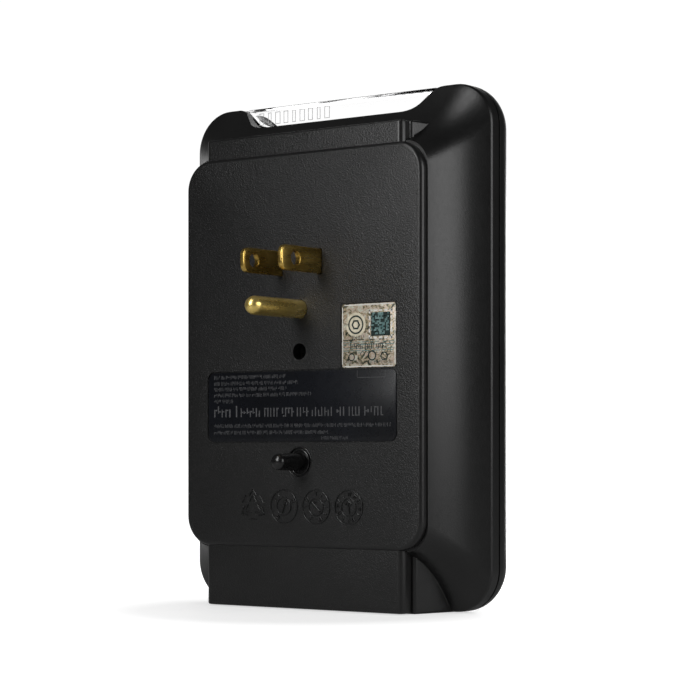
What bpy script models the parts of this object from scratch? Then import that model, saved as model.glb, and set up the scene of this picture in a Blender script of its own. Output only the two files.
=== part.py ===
"""Plug-in surge protector: a six-outlet wall tap with a 5-15 plug on its back.

Metres, +Z up. The wall is at +Y and the outlets face -Y. The origin lies on the
rear plate, midway between the two plug blades.
"""

import math

import bmesh
import bpy
from mathutils import Matrix, Vector

MM = 0.001
GAP = 0.3 * MM

# Case outline, seen from the wall side
RIM_HALF_WIDTH = 47.7 * MM
RIM_TOP = 44.0 * MM
RIM_BOTTOM = -88.4 * MM
RIM_RADIUS = 10.8 * MM
CORNER_STEPS = 6

# Raised rear plate
PLATE_HALF_WIDTH = 38.0 * MM
PLATE_TOP = 28.4 * MM
PLATE_BOTTOM = -72.8 * MM
PLATE_RADIUS = 7.7 * MM
PLATE_EDGE = 1.2 * MM
PLATE_EDGE_STEPS = 3
LEDGE_Y = -2.2 * MM
LEDGE_WIDTH = 0.3 * MM
LEDGE_RADIUS = 6.8 * MM

# Coved flank between the rear plate and the rim
RIM_REAR_Y = -17.1 * MM
RIM_EDGE = 1.1 * MM
RIM_EDGE_TURN = math.radians(57)
RIM_STEPS = 2
COVE_END_Y = RIM_REAR_Y + RIM_EDGE * math.sin(RIM_EDGE_TURN)
COVE_END_INSET = RIM_EDGE * (1 - math.cos(RIM_EDGE_TURN))
SEAM_Y = -20.0 * MM
SEAM_GAP = 0.3 * MM
COVE_LINEAR = 0.45
COVE_POWER = 2.6
COVE_STEPS = 7
RING_STEP = 0.01 * MM
WALL = 2.2 * MM
REAR_WALL = 2.6 * MM
CAVITY_REAR_Y = -REAR_WALL - 0.2 * MM
CAVITY_LAP = 1.0 * MM
MIN_CORNER = 0.8 * MM
CUT_MARGIN = 2.0 * MM
REAR_CUT_END_Y = -20.0 * MM

# Top and bottom blocks on the rear: a slab on a wider, drafted base
BLOCK_HALF_WIDTH = 31.7 * MM
BLOCK_REAR_Y = -0.6 * MM
BLOCK_TOP = 33.9 * MM
BLOCK_DRAFT = 0.24
BLOCK_LAP = 1.0 * MM
TOP_LEDGE_Y = -3.6 * MM
TOP_BASE_HALF_WIDTH = 32.4 * MM
BOTTOM_LEDGE_Y = -4.6 * MM
BOTTOM_BASE_HALF_WIDTH = 32.8 * MM
BLOCK_SINK = 6.0 * MM
FOOT_Z = RIM_BOTTOM - 0.1 * MM
BLOCK_EDGE = 1.2 * MM
POCKET_DEPTH = 0.4 * MM
POCKET_REACH = 8.0 * MM
SLAB_INSET = 0.2 * MM
TOP_BLOCK_DEPTH = 11.5 * MM

# Front cover
FRONT_Y = -30.0 * MM
FRONT_STRAIGHT_Y = -20.35 * MM
FRONT_INSET = 10.0 * MM
FRONT_RADIUS = 5.5 * MM
FRONT_STEPS = 7
FRONT_WALL = 2.4 * MM
MIN_FRONT_CORNER = 1.0 * MM

# Notch in the top edge and the clear bar in it
NOTCH_BOTTOM = 37.9 * MM
NOTCH_BOTTOM_HALF = 26.1 * MM
NOTCH_TOP_HALF = 31.4 * MM
NOTCH_BLEND = 4.0 * MM
NOTCH_STEPS = 5
NOTCH_RISE = 4.0 * MM
NOTCH_FRAME = 1.8 * MM
NOTCH_CUT_REAR_Y = -5.0 * MM
NOTCH_CUT_FRONT_Y = -40.0 * MM
LENS_REAR_Y = -17.2 * MM
LENS_TOP = 43.7 * MM
LENS_FIT = 0.35 * MM
LENS_STEM_BOTTOM = 32.0 * MM
LENS_STEM_HALF = 16.0 * MM
LENS_STEPS = 5
LENS_TURN = math.radians(52)
LENS_LAP = 1.0 * MM
STEM_LAP = 1.5 * MM

# Plug, 5-15 pattern
BLADE_PITCH = 12.7 * MM
BLADE_THICK = 1.5 * MM
BLADE_HEIGHT = 6.35 * MM
LINE_BLADE_LENGTH = 15.2 * MM
NEUTRAL_BLADE_LENGTH = 16.0 * MM
BLADE_INNER_Y = -13.0 * MM
BLADE_HOLE = 3.4 * MM
LINE_HOLE_Y = 11.2 * MM
NEUTRAL_HOLE_Y = 10.5 * MM
BLADE_TIP_RADIUS = 2.1 * MM
BLADE_EDGE = 0.2 * MM
PIN_RADIUS = 2.4 * MM
PIN_Z = -11.9 * MM
PIN_LENGTH = 20.6 * MM
PIN_DOME_STEPS = 5
PIN_DOME_STRETCH = 1.15
BLADE_TIP_STEPS = 4
PLUG_CLEARANCE = 0.35 * MM

# Centre screw passage and alignment peg
SCREW_Z = -22.7 * MM
SCREW_RADIUS = 2.1 * MM
SLEEVE_WALL = 1.2 * MM
SLEEVE_STEPS = 24
SLEEVE_OVERRUN = 1.0 * MM
FRONT_SCREW_RADIUS = 2.6 * MM
PEG_Z = -50.8 * MM
PEG_RADIUS = 2.35 * MM
PEG_TIP_RADIUS = 2.05 * MM
PEG_LENGTH = 10.1 * MM
PEG_DOME = 1.6 * MM
PEG_DOME_STEPS = 4
PEG_INNER_Y = -6.0 * MM
PEG_COLLAR_RADIUS = 3.2 * MM
PEG_COLLAR_REAR_Y = -0.1 * MM
PEG_COLLAR_FRONT_Y = -0.3 * MM
PEG_SEAT_RADIUS = 3.85 * MM
PEG_SEAT_DEPTH = 0.6 * MM
PEG_SEAT_STEPS = 28

# Label and sticker on the rear plate
LABEL_HALF_WIDTH = 30.3 * MM
LABEL_TOP = -27.6 * MM
LABEL_BOTTOM = -45.6 * MM
LABEL_RADIUS = 2.0 * MM
LABEL_RECESS = 0.35 * MM
LABEL_THICK = 0.2 * MM
LABEL_MARGIN = 0.3 * MM
STICKER_LEFT = -13.5 * MM
STICKER_RIGHT = -30.2 * MM
STICKER_TOP = -11.3 * MM
STICKER_BOTTOM = -27.2 * MM
STICKER_RECESS = 0.3 * MM
STICKER_THICK = 0.2 * MM
STICKER_MARGIN = 0.3 * MM
LIFT = 0.05 * MM

# Outlets, 5-15R pattern, two columns of three
OUTLET_X = 19.8 * MM
OUTLET_ROWS = (12.0 * MM, -24.0 * MM, -60.0 * MM)
OUTLET_RADIUS = 16.2 * MM
OUTLET_HALF_HEIGHT = 14.0 * MM
OUTLET_DROP = 3.5 * MM
OUTLET_RECESS = 0.8 * MM
SLOT_WIDTH = 2.3 * MM
NEUTRAL_SLOT_HEIGHT = 8.2 * MM
LINE_SLOT_HEIGHT = 6.8 * MM
GROUND_HOLE_RADIUS = 2.8 * MM
OUTLET_ARC_STEPS = 8
GROUND_HOLE_STEPS = 16

# Safety shutters
SHUTTER_THICK = 1.3 * MM
SHUTTER_TRAVEL = 3.4 * MM
SHUTTER_HALF_WIDTH = 10.2 * MM
SHUTTER_HALF_HEIGHT = 4.9 * MM
SHUTTER_WINDOW = 3.0 * MM
SHUTTER_BAR = 0.6 * MM
SPRING_THICK = 0.3 * MM
SPRING_WIDTH = 1.0 * MM
SPRING_REACH = 4.0 * MM
SPRING_HALF_HEIGHT = 4.2 * MM
SPRING_STEPS = 6
SPRING_INSET = 0.1 * MM

# Bus bars and their outlet contacts
BUS_THICK = 0.8 * MM
BUS_HALF_WIDTH = 2.5 * MM
GROUND_BUS_Y = -19.8 * MM
LINE_BUS_Y = -21.4 * MM
NEUTRAL_BUS_Y = -23.0 * MM
JAW_END_Y = -25.6 * MM
JAW_THICK = 0.6 * MM
JAW_OPEN = 0.7 * MM
GROUND_JAW_OPEN = 2.3 * MM
JAW_INSET = 0.4 * MM
BLADE_JAW_HEIGHT = 6.4 * MM
GROUND_JAW_HEIGHT = 5.0 * MM
LINK_HALF_HEIGHT = 3.0 * MM
LINK_THINNING = 0.05 * BUS_THICK
LINE_LINK_Z = -6.0 * MM
NEUTRAL_LINK_Z = -42.0 * MM
GROUND_LINK_Z = -54.0 * MM

# Blade carrier
CARRIER_HALF_WIDTH = 14.0 * MM
CARRIER_TOP = 8.0 * MM
CARRIER_BOTTOM = -18.0 * MM
CARRIER_REAR_Y = -2.9 * MM
CARRIER_FRONT_Y = -9.5 * MM
CARRIER_SCREW_X = 10.5 * MM
CARRIER_SCREW_Z = -13.5 * MM
CARRIER_SCREW_RADIUS = 1.3 * MM
CARRIER_SCREW_LENGTH = 8.2 * MM
SCREW_HEAD_RADIUS = 2.6 * MM
SCREW_HEAD_HEIGHT = 1.8 * MM
PILOT_END_Y = -1.1 * MM
CARRIER_EDGE = 0.8 * MM
CARRIER_SCREW_TIP = 0.3 * MM
CARRIER_SCREW_STEPS = 12

# Circuit board and what stands on it
BOARD_HALF_WIDTH = 33.0 * MM
BOARD_TOP = 30.0 * MM
BOARD_BOTTOM = 10.5 * MM
BOARD_REAR_Y = -10.6 * MM
BOARD_THICK = 1.6 * MM
VARISTOR_RADIUS = 6.6 * MM
VARISTOR_THICK = 4.6 * MM
VARISTOR_X = (-24.0 * MM, -9.5 * MM, 24.0 * MM)
VARISTOR_Z = 19.0 * MM
LED_RADIUS = 1.5 * MM
LED_X = 10.0 * MM
LED_TOP = 31.6 * MM
LED_Y = -19.8 * MM
LED_BASE_TOP = -2.6 * MM
LED_BASE_BOTTOM = -3.4 * MM
LED_BASE_FLARE = 1.25
LED_DOME_STEPS = 4
STEM_FRONT_Y = LED_Y - 1.6 * MM
VARISTOR_EDGE = 1.2 * MM
FUSE_X = (13.5 * MM, 17.0 * MM)
FUSE_Z = (12.0 * MM, 24.5 * MM)
FUSE_HEIGHT = 4.0 * MM
FUSE_EDGE = 1.2 * MM
CAPACITOR_X = (0.0, 12.0 * MM)
CAPACITOR_Z = (12.0 * MM, 26.0 * MM)
CAPACITOR_HEIGHT = 6.0 * MM
CAPACITOR_EDGE = 0.5 * MM
RESISTOR_X = (-16.8 * MM, 15.6 * MM)
RESISTOR_Z = 27.8 * MM
RESISTOR_RADIUS = 1.1 * MM
RESISTOR_HALF_LENGTH = 3.2 * MM
RESISTOR_LIFT = 1.2 * MM
RESISTOR_EDGE = 0.4 * MM

# Leads, as the points that each one bends through
LEAD_RADIUS = 1.0 * MM
LEAD_START_Y = BLADE_INNER_Y - GAP - 1.2 * MM
LINE_ROUTE = (
    (BLADE_PITCH / 2, LEAD_START_Y, 0.0),
    (12.0 * MM, LEAD_START_Y - 1.2 * MM, -4.0 * MM),
    (18.0 * MM, -17.5 * MM, -6.0 * MM),
    (27.0 * MM, -19.4 * MM, -8.0 * MM),
)
GROUND_ROUTE = (
    (0.0, LEAD_START_Y, PIN_Z),
    (4.0 * MM, LEAD_START_Y - 1.4 * MM, -15.0 * MM),
    (10.0 * MM, -17.2 * MM, -17.0 * MM),
    (20.0 * MM, -18.8 * MM, -18.0 * MM),
)

BODY_COLOR = (0.018, 0.018, 0.019, 1.0)


def clear_scene():
    """Remove everything that the startup scene holds."""
    for item in list(bpy.data.objects):
        bpy.data.objects.remove(item, do_unlink=True)


def new_collection(name):
    """A collection linked to the scene."""
    made = bpy.data.collections.new(name)
    bpy.context.scene.collection.children.link(made)
    return made


def material(name, color, metallic=0.0, roughness=0.5):
    """A Principled BSDF material."""
    made = bpy.data.materials.new(name)
    made.use_nodes = True
    shader = made.node_tree.nodes["Principled BSDF"]
    shader.inputs["Base Color"].default_value = color
    shader.inputs["Metallic"].default_value = metallic
    shader.inputs["Roughness"].default_value = roughness
    return made


def place(name, mesh, where):
    """An object for this mesh in this collection."""
    item = bpy.data.objects.new(name, mesh)
    where.objects.link(item)
    return item


def mesh_from(name, geometry):
    """A mesh datablock from a bmesh, facing outwards."""
    bmesh.ops.recalc_face_normals(geometry, faces=geometry.faces)
    mesh = bpy.data.meshes.new(name)
    geometry.to_mesh(mesh)
    geometry.free()
    return mesh


def block(name, where, low, high):
    """A box between two opposite corners."""
    geometry = bmesh.new()
    bmesh.ops.create_cube(geometry, size=1.0)
    low = Vector(low)
    high = Vector(high)
    middle = (low + high) / 2
    size = high - low
    bmesh.ops.transform(
        geometry,
        matrix=Matrix.Translation(middle) @ Matrix.Diagonal((size.x, size.y, size.z, 1.0)),
        verts=geometry.verts,
    )
    return place(name, mesh_from(name, geometry), where)


def rod(name, where, x, z, radius, y_rear, y_front, steps=20):
    """A cylinder along Y, from its rear end to its front end."""
    geometry = bmesh.new()
    bmesh.ops.create_cone(
        geometry,
        cap_ends=True,
        segments=steps,
        radius1=radius,
        radius2=radius,
        depth=y_rear - y_front,
    )
    turn = Matrix.Rotation(-math.pi / 2, 4, "X")
    move = Matrix.Translation((x, (y_rear + y_front) / 2, z))
    bmesh.ops.transform(geometry, matrix=move @ turn, verts=geometry.verts)
    return place(name, mesh_from(name, geometry), where)


def outline_solid(name, where, points, y_rear, y_front):
    """A flat outline in X and Z, thickened along Y."""
    curve = bpy.data.curves.new(name, "CURVE")
    curve.dimensions = "2D"
    curve.fill_mode = "BOTH"
    curve.extrude = (y_rear - y_front) / 2
    line = curve.splines.new("POLY")
    line.points.add(len(points) - 1)
    for point, (x, z) in zip(line.points, points):
        point.co = (x, z, 0.0, 1.0)
    line.use_cyclic_u = True
    helper = place(name + "_outline", curve, where)
    helper.rotation_euler = (math.pi / 2, 0.0, 0.0)
    helper.location = (0.0, (y_rear + y_front) / 2, 0.0)
    return from_curve(name, where, helper)


def from_curve(name, where, helper):
    """The solid that a curve evaluates to, as a mesh object in its place."""
    bpy.context.view_layer.update()
    graph = bpy.context.evaluated_depsgraph_get()
    mesh = bpy.data.meshes.new_from_object(helper.evaluated_get(graph))
    geometry = bmesh.new()
    geometry.from_mesh(mesh)
    bpy.data.meshes.remove(mesh)
    bmesh.ops.remove_doubles(geometry, verts=geometry.verts, dist=0.001 * MM)
    item = place(name, mesh_from(name, geometry), where)
    item.matrix_world = helper.matrix_world.copy()
    bpy.data.objects.remove(helper, do_unlink=True)
    return item


def corner_arc(x, z, radius, start, steps):
    """Points of a quarter circle about (x, z), turning anticlockwise from start."""
    found = []
    for i in range(steps + 1):
        angle = start + math.pi / 2 * i / steps
        found.append((x + radius * math.cos(angle), z + radius * math.sin(angle)))
    return found


def rounded_rectangle(half_width, bottom, top, radius, steps=CORNER_STEPS, x=0.0):
    """The outline of a rounded rectangle, anticlockwise from its right side's foot."""
    inner = half_width - radius
    points = corner_arc(x + inner, bottom + radius, radius, -math.pi / 2, steps)
    points += corner_arc(x + inner, top - radius, radius, 0.0, steps)
    points += corner_arc(x - inner, top - radius, radius, math.pi / 2, steps)
    points += corner_arc(x - inner, bottom + radius, radius, math.pi, steps)
    return points


def ring_loft(name, where, rings):
    """A closed skin through rounded rectangles, each given as (y, outline)."""
    geometry = bmesh.new()
    rows = []
    for y, outline in rings:
        rows.append([geometry.verts.new((x, y, z)) for x, z in outline])
    count = len(rows[0])
    for first, second in zip(rows, rows[1:]):
        for i in range(count):
            j = (i + 1) % count
            geometry.faces.new((first[i], first[j], second[j], second[i]))
    geometry.faces.new(rows[0])
    geometry.faces.new(list(reversed(rows[-1])))
    return place(name, mesh_from(name, geometry), where)


def combine(target, others, operation):
    """Join the others to the target, or cut them from it, with one Boolean each."""
    for other in others:
        other.hide_render = True
        other.display_type = "WIRE"
        change = target.modifiers.new(operation.title() + "_" + other.name, "BOOLEAN")
        change.operation = operation
        change.solver = "EXACT"
        change.object = other


def round_edges(item, width, segments, angle=math.radians(40)):
    """Round the sharp edges of an object."""
    change = item.modifiers.new("Edges", "BEVEL")
    change.width = width
    change.segments = segments
    change.limit_method = "ANGLE"
    change.angle_limit = angle


def finish(item, look, smooth=False):
    """Give an object its material and its shading."""
    item.data.materials.append(look)
    if smooth:
        for face in item.data.polygons:
            face.use_smooth = True
    return item


def cove_share(depth_share):
    """How far the flank has flared at this share of its depth."""
    return COVE_LINEAR * depth_share + (1 - COVE_LINEAR) * depth_share**COVE_POWER


def flank_outline(share, inset):
    """The case outline at this share of the flare, moved inwards by inset."""
    half = PLATE_HALF_WIDTH + LEDGE_WIDTH
    half += share * (RIM_HALF_WIDTH - half) - inset
    top = PLATE_TOP + LEDGE_WIDTH
    top += share * (RIM_TOP - top) - inset
    bottom = PLATE_BOTTOM - LEDGE_WIDTH
    bottom += share * (RIM_BOTTOM - bottom) + inset
    radius = LEDGE_RADIUS + share * (RIM_RADIUS - LEDGE_RADIUS) - inset
    return rounded_rectangle(half, bottom, top, max(radius, MIN_CORNER))


def plate_outline(inset):
    """The rear plate's outline, moved inwards by inset."""
    return rounded_rectangle(
        PLATE_HALF_WIDTH - inset,
        PLATE_BOTTOM + inset,
        PLATE_TOP - inset,
        PLATE_RADIUS - inset,
    )


def rear_skin_rings():
    """Outer rings of the rear cover, from the plate to the seam."""
    rings = []
    for i in range(PLATE_EDGE_STEPS + 1):
        angle = math.pi / 2 * i / PLATE_EDGE_STEPS
        y = -PLATE_EDGE * (1 - math.cos(angle))
        rings.append((y, plate_outline(PLATE_EDGE * (1 - math.sin(angle)))))
    rings.append((LEDGE_Y, plate_outline(0.0)))
    for i in range(COVE_STEPS + 1):
        depth = i / COVE_STEPS
        share = cove_share(depth)
        y = LEDGE_Y - RING_STEP + depth * (COVE_END_Y - LEDGE_Y)
        rings.append((y, flank_outline(share, share * COVE_END_INSET)))
    for i in range(1, RIM_STEPS + 1):
        angle = RIM_EDGE_TURN * (1 - i / RIM_STEPS)
        y = RIM_REAR_Y + RIM_EDGE * math.sin(angle)
        rings.append((y, flank_outline(1.0, RIM_EDGE * (1 - math.cos(angle)))))
    rings.append((SEAM_Y + SEAM_GAP / 2, flank_outline(1.0, 0.0)))
    return rings


def rear_cavity_rings():
    """Inner rings of the rear cover, a wall's thickness inside the outer ones."""
    rings = []
    for i in range(COVE_STEPS + 1):
        depth = i / COVE_STEPS
        y = CAVITY_REAR_Y + depth * (COVE_END_Y - WALL / 2 - CAVITY_REAR_Y)
        rings.append((y, flank_outline(cove_share(depth), WALL)))
    rings.append((SEAM_Y - CAVITY_LAP, flank_outline(1.0, WALL)))
    return rings


def notch_points(clearance):
    """Outline of the notch in the top edge, made larger all round by clearance."""
    slope = (NOTCH_TOP_HALF - NOTCH_BOTTOM_HALF) / (RIM_TOP - NOTCH_BOTTOM)
    half_at_rise = NOTCH_TOP_HALF + slope * NOTCH_RISE + clearance
    side = []
    for i in range(NOTCH_STEPS + 1):
        t = i / NOTCH_STEPS
        lift = NOTCH_BLEND * 0.5 * t * t
        x = NOTCH_BOTTOM_HALF + clearance - NOTCH_BLEND * (1 - t) ** 2 + slope * lift
        side.append((x, NOTCH_BOTTOM - clearance + lift))
    side.append((half_at_rise, RIM_TOP + NOTCH_RISE))
    return side + [(-x, z) for x, z in reversed(side)]


def notch_cut(name, where, clearance):
    """The notch as a solid that reaches past both covers."""
    points = notch_points(clearance)
    return outline_solid(name, where, points, NOTCH_CUT_REAR_Y, NOTCH_CUT_FRONT_Y)


def rear_hole(name, where, x, z, radius, steps=20):
    """A round passage through the rear wall."""
    return rod(name, where, x, z, radius, CUT_MARGIN, REAR_CUT_END_Y, steps)


def blade_slot(name, where, x):
    """The opening that a plug blade passes through."""
    half_x = BLADE_THICK / 2 + PLUG_CLEARANCE
    half_z = BLADE_HEIGHT / 2 + PLUG_CLEARANCE
    return block(
        name,
        where,
        (x - half_x, CARRIER_FRONT_Y - CUT_MARGIN, -half_z),
        (x + half_x, CUT_MARGIN, half_z),
    )


def rear_block(name, where, bottom, top, front_y, ledge_y, base_half):
    """The two stepped solids of one block, its rear slab and its wider, drafted base."""
    foot_half = base_half + BLOCK_DRAFT * (ledge_y - front_y)
    slab = block(
        name + "_slab",
        where,
        (-BLOCK_HALF_WIDTH, ledge_y - BLOCK_LAP, bottom + SLAB_INSET),
        (BLOCK_HALF_WIDTH, BLOCK_REAR_Y, top - SLAB_INSET),
    )
    round_edges(slab, BLOCK_EDGE, 2)
    base = block(
        name + "_base",
        where,
        (-base_half, front_y, bottom),
        (base_half, ledge_y, top),
    )
    for corner in base.data.vertices:
        if corner.co.y < ledge_y - GAP:
            corner.co.x = math.copysign(foot_half, corner.co.x)
    return [slab, base]


def make_rear_cover(parts, tools, look):
    """The rear shell: plate, ledge, coved flanks, blocks, notch and openings."""
    cover = ring_loft("rear_cover", parts, rear_skin_rings())
    joins = rear_block(
        "top_block",
        tools,
        PLATE_TOP - BLOCK_SINK,
        BLOCK_TOP,
        -TOP_BLOCK_DEPTH,
        TOP_LEDGE_Y,
        TOP_BASE_HALF_WIDTH,
    )
    joins += rear_block(
        "bottom_block",
        tools,
        FOOT_Z,
        PLATE_BOTTOM + BLOCK_SINK,
        SEAM_Y + SEAM_GAP,
        BOTTOM_LEDGE_Y,
        BOTTOM_BASE_HALF_WIDTH,
    )
    combine(cover, joins, "UNION")
    cavity = ring_loft("rear_cavity", tools, rear_cavity_rings())
    frame = outline_solid(
        "rear_notch_frame",
        tools,
        notch_points(NOTCH_FRAME),
        NOTCH_CUT_REAR_Y,
        LENS_REAR_Y + GAP,
    )
    combine(cavity, [frame], "DIFFERENCE")
    cuts = [cavity]
    pocket_half = BLOCK_HALF_WIDTH - WALL
    cuts.append(
        block(
            "bottom_pocket",
            tools,
            (-pocket_half, SEAM_Y - CAVITY_LAP, FOOT_Z + WALL + GAP),
            (pocket_half, BOTTOM_LEDGE_Y - WALL + POCKET_DEPTH, PLATE_BOTTOM + POCKET_REACH),
        )
    )
    cuts.append(
        block(
            "top_pocket",
            tools,
            (-pocket_half, SEAM_Y - CAVITY_LAP, PLATE_TOP - POCKET_REACH),
            (pocket_half, TOP_LEDGE_Y - WALL + POCKET_DEPTH, BLOCK_TOP - WALL),
        )
    )
    cuts.append(notch_cut("rear_notch", tools, 0.0))
    cuts.append(blade_slot("line_slot", tools, BLADE_PITCH / 2))
    cuts.append(blade_slot("neutral_slot", tools, -BLADE_PITCH / 2))
    cuts.append(rear_hole("pin_hole", tools, 0, PIN_Z, PIN_RADIUS + PLUG_CLEARANCE))
    cuts.append(rear_hole("screw_hole", tools, 0, SCREW_Z, SCREW_RADIUS))
    cuts.append(rear_hole("peg_hole", tools, 0, PEG_Z, PEG_RADIUS + PLUG_CLEARANCE))
    cuts.append(
        rod(
            "peg_seat",
            tools,
            0,
            PEG_Z,
            PEG_SEAT_RADIUS,
            CUT_MARGIN,
            -PEG_SEAT_DEPTH,
            PEG_SEAT_STEPS,
        )
    )
    cuts.append(label_recess(tools))
    cuts.append(sticker_recess(tools))
    for side in (-1, 1):
        cuts.append(
            rod(
                "pilot_hole_" + str(side + 2),
                tools,
                side * CARRIER_SCREW_X,
                CARRIER_SCREW_Z,
                CARRIER_SCREW_RADIUS + GAP,
                PILOT_END_Y,
                REAR_CUT_END_Y,
                CARRIER_SCREW_STEPS,
            )
        )
    combine(cover, cuts, "DIFFERENCE")
    return finish(cover, look)


def label_recess(tools):
    """The shallow bed of the rating label."""
    points = rounded_rectangle(
        LABEL_HALF_WIDTH + LABEL_MARGIN,
        LABEL_BOTTOM - LABEL_MARGIN,
        LABEL_TOP + LABEL_MARGIN,
        LABEL_RADIUS + LABEL_MARGIN,
        4,
    )
    return outline_solid("label_recess", tools, points, CUT_MARGIN, -LABEL_RECESS)


def sticker_recess(tools):
    """The shallow bed of the security sticker."""
    return block(
        "sticker_recess",
        tools,
        (STICKER_RIGHT - STICKER_MARGIN, -STICKER_RECESS, STICKER_BOTTOM - STICKER_MARGIN),
        (STICKER_LEFT + STICKER_MARGIN, CUT_MARGIN, STICKER_TOP + STICKER_MARGIN),
    )


def front_rings(inset, y_front, y_rear):
    """Rings of the front shell, from its flat face back to the seam."""
    rings = []
    reach = y_front - FRONT_STRAIGHT_Y
    for i in range(FRONT_STEPS + 1):
        angle = math.pi / 2 * i / FRONT_STEPS
        moved = FRONT_INSET * (1 - math.sin(angle)) + inset
        radius = RIM_RADIUS - moved * (RIM_RADIUS - FRONT_RADIUS) / FRONT_INSET
        outline = rounded_rectangle(
            RIM_HALF_WIDTH - moved,
            RIM_BOTTOM + moved,
            RIM_TOP - moved,
            max(radius, MIN_FRONT_CORNER),
        )
        rings.append((FRONT_STRAIGHT_Y + reach * math.cos(angle), outline))
    rings.append((y_rear, rings[-1][1]))
    return rings


def outlet_places():
    """The six outlets as (number, centre x, blade height z), from the top left."""
    found = []
    number = 1
    for z in OUTLET_ROWS:
        for x in (-OUTLET_X, OUTLET_X):
            found.append((number, x, z))
            number += 1
    return found


def outlet_face(name, where, x, z):
    """The shallow recess around one outlet: a disc flattened above and below."""
    half = math.asin(OUTLET_HALF_HEIGHT / OUTLET_RADIUS)
    points = []
    for start in (-half, math.pi - half):
        for i in range(OUTLET_ARC_STEPS + 1):
            angle = start + 2 * half * i / OUTLET_ARC_STEPS
            points.append(
                (
                    x + OUTLET_RADIUS * math.cos(angle),
                    z - OUTLET_DROP + OUTLET_RADIUS * math.sin(angle),
                )
            )
    return outline_solid(
        name, where, points, FRONT_Y + OUTLET_RECESS, FRONT_Y - CUT_MARGIN
    )


def slot_cut(name, where, x, z, height):
    """One blade slot through the front wall."""
    return block(
        name,
        where,
        (x - SLOT_WIDTH / 2, FRONT_Y - CUT_MARGIN, z - height / 2),
        (x + SLOT_WIDTH / 2, FRONT_Y + FRONT_WALL + CUT_MARGIN, z + height / 2),
    )


def outlet_cuts(tools, number, x, z):
    """Everything that is cut from the front wall for one outlet."""
    tag = "_" + str(number)
    half = BLADE_PITCH / 2
    return [
        outlet_face("outlet_face" + tag, tools, x, z),
        slot_cut("neutral_opening" + tag, tools, x - half, z, NEUTRAL_SLOT_HEIGHT),
        slot_cut("line_opening" + tag, tools, x + half, z, LINE_SLOT_HEIGHT),
        rod(
            "ground_opening" + tag,
            tools,
            x,
            z + PIN_Z,
            GROUND_HOLE_RADIUS,
            FRONT_Y + FRONT_WALL + CUT_MARGIN,
            FRONT_Y - CUT_MARGIN,
            GROUND_HOLE_STEPS,
        ),
    ]


def make_front_cover(parts, tools, look):
    """The front shell, with six outlets, the screw opening and the notch."""
    cover = ring_loft(
        "front_cover", parts, front_rings(0.0, FRONT_Y, SEAM_Y - SEAM_GAP / 2)
    )
    cavity = ring_loft(
        "front_cavity",
        tools,
        front_rings(WALL, FRONT_Y + FRONT_WALL, SEAM_Y + CUT_MARGIN),
    )
    cuts = [cavity]
    cuts.append(notch_cut("front_notch", tools, 0.0))
    for number, x, z in outlet_places():
        cuts += outlet_cuts(tools, number, x, z)
    cuts.append(
        rod(
            "front_screw_opening",
            tools,
            0,
            SCREW_Z,
            FRONT_SCREW_RADIUS,
            REAR_CUT_END_Y,
            FRONT_Y - CUT_MARGIN,
        )
    )
    combine(cover, cuts, "DIFFERENCE")
    return finish(cover, look)


def lens_profile():
    """Side view of the clear bar: flat rear, top that follows the front edge."""
    reach = FRONT_Y - FRONT_STRAIGHT_Y
    points = [(LENS_REAR_Y, NOTCH_BOTTOM - LENS_LAP), (LENS_REAR_Y, LENS_TOP)]
    for i in range(LENS_STEPS + 1):
        angle = math.pi / 2 - LENS_TURN * i / LENS_STEPS
        moved = FRONT_INSET * (1 - math.sin(angle)) + RIM_TOP - LENS_TOP
        points.append((FRONT_STRAIGHT_Y + reach * math.cos(angle), RIM_TOP - moved))
    points.append((points[-1][0], NOTCH_BOTTOM - LENS_LAP))
    return points


def make_status_lens(parts, tools, look):
    """The clear bar in the notch, with a stem down to the indicator lamps."""
    half = NOTCH_TOP_HALF + NOTCH_RISE
    geometry = bmesh.new()
    sides = []
    for side in (-1, 1):
        sides.append([geometry.verts.new((side * half, y, z)) for y, z in lens_profile()])
    count = len(sides[0])
    for i in range(count):
        j = (i + 1) % count
        geometry.faces.new((sides[0][i], sides[0][j], sides[1][j], sides[1][i]))
    geometry.faces.new(sides[0])
    geometry.faces.new(list(reversed(sides[1])))
    lens = place("status_lens", mesh_from("status_lens", geometry), parts)
    ends = notch_cut("lens_ends", tools, -LENS_FIT)
    combine(lens, [ends], "INTERSECT")
    stem = block(
        "lens_stem",
        tools,
        (-LENS_STEM_HALF, STEM_FRONT_Y, LENS_STEM_BOTTOM),
        (LENS_STEM_HALF, LENS_REAR_Y - LENS_LAP, NOTCH_BOTTOM + STEM_LAP),
    )
    combine(lens, [stem], "UNION")
    return finish(lens, look)


def blade_points(tip):
    """Side outline of a blade in Y and Z, with rounded tip corners."""
    half = BLADE_HEIGHT / 2
    inner = half - BLADE_TIP_RADIUS
    points = []
    for centre_z, start in ((inner, math.pi / 2), (-inner, 0.0)):
        for i in range(BLADE_TIP_STEPS + 1):
            angle = start - math.pi / 2 * i / BLADE_TIP_STEPS
            points.append(
                (
                    tip - BLADE_TIP_RADIUS + BLADE_TIP_RADIUS * math.cos(angle),
                    centre_z + BLADE_TIP_RADIUS * math.sin(angle),
                )
            )
    points.append((BLADE_INNER_Y, -half))
    points.append((BLADE_INNER_Y, half))
    return points


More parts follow.
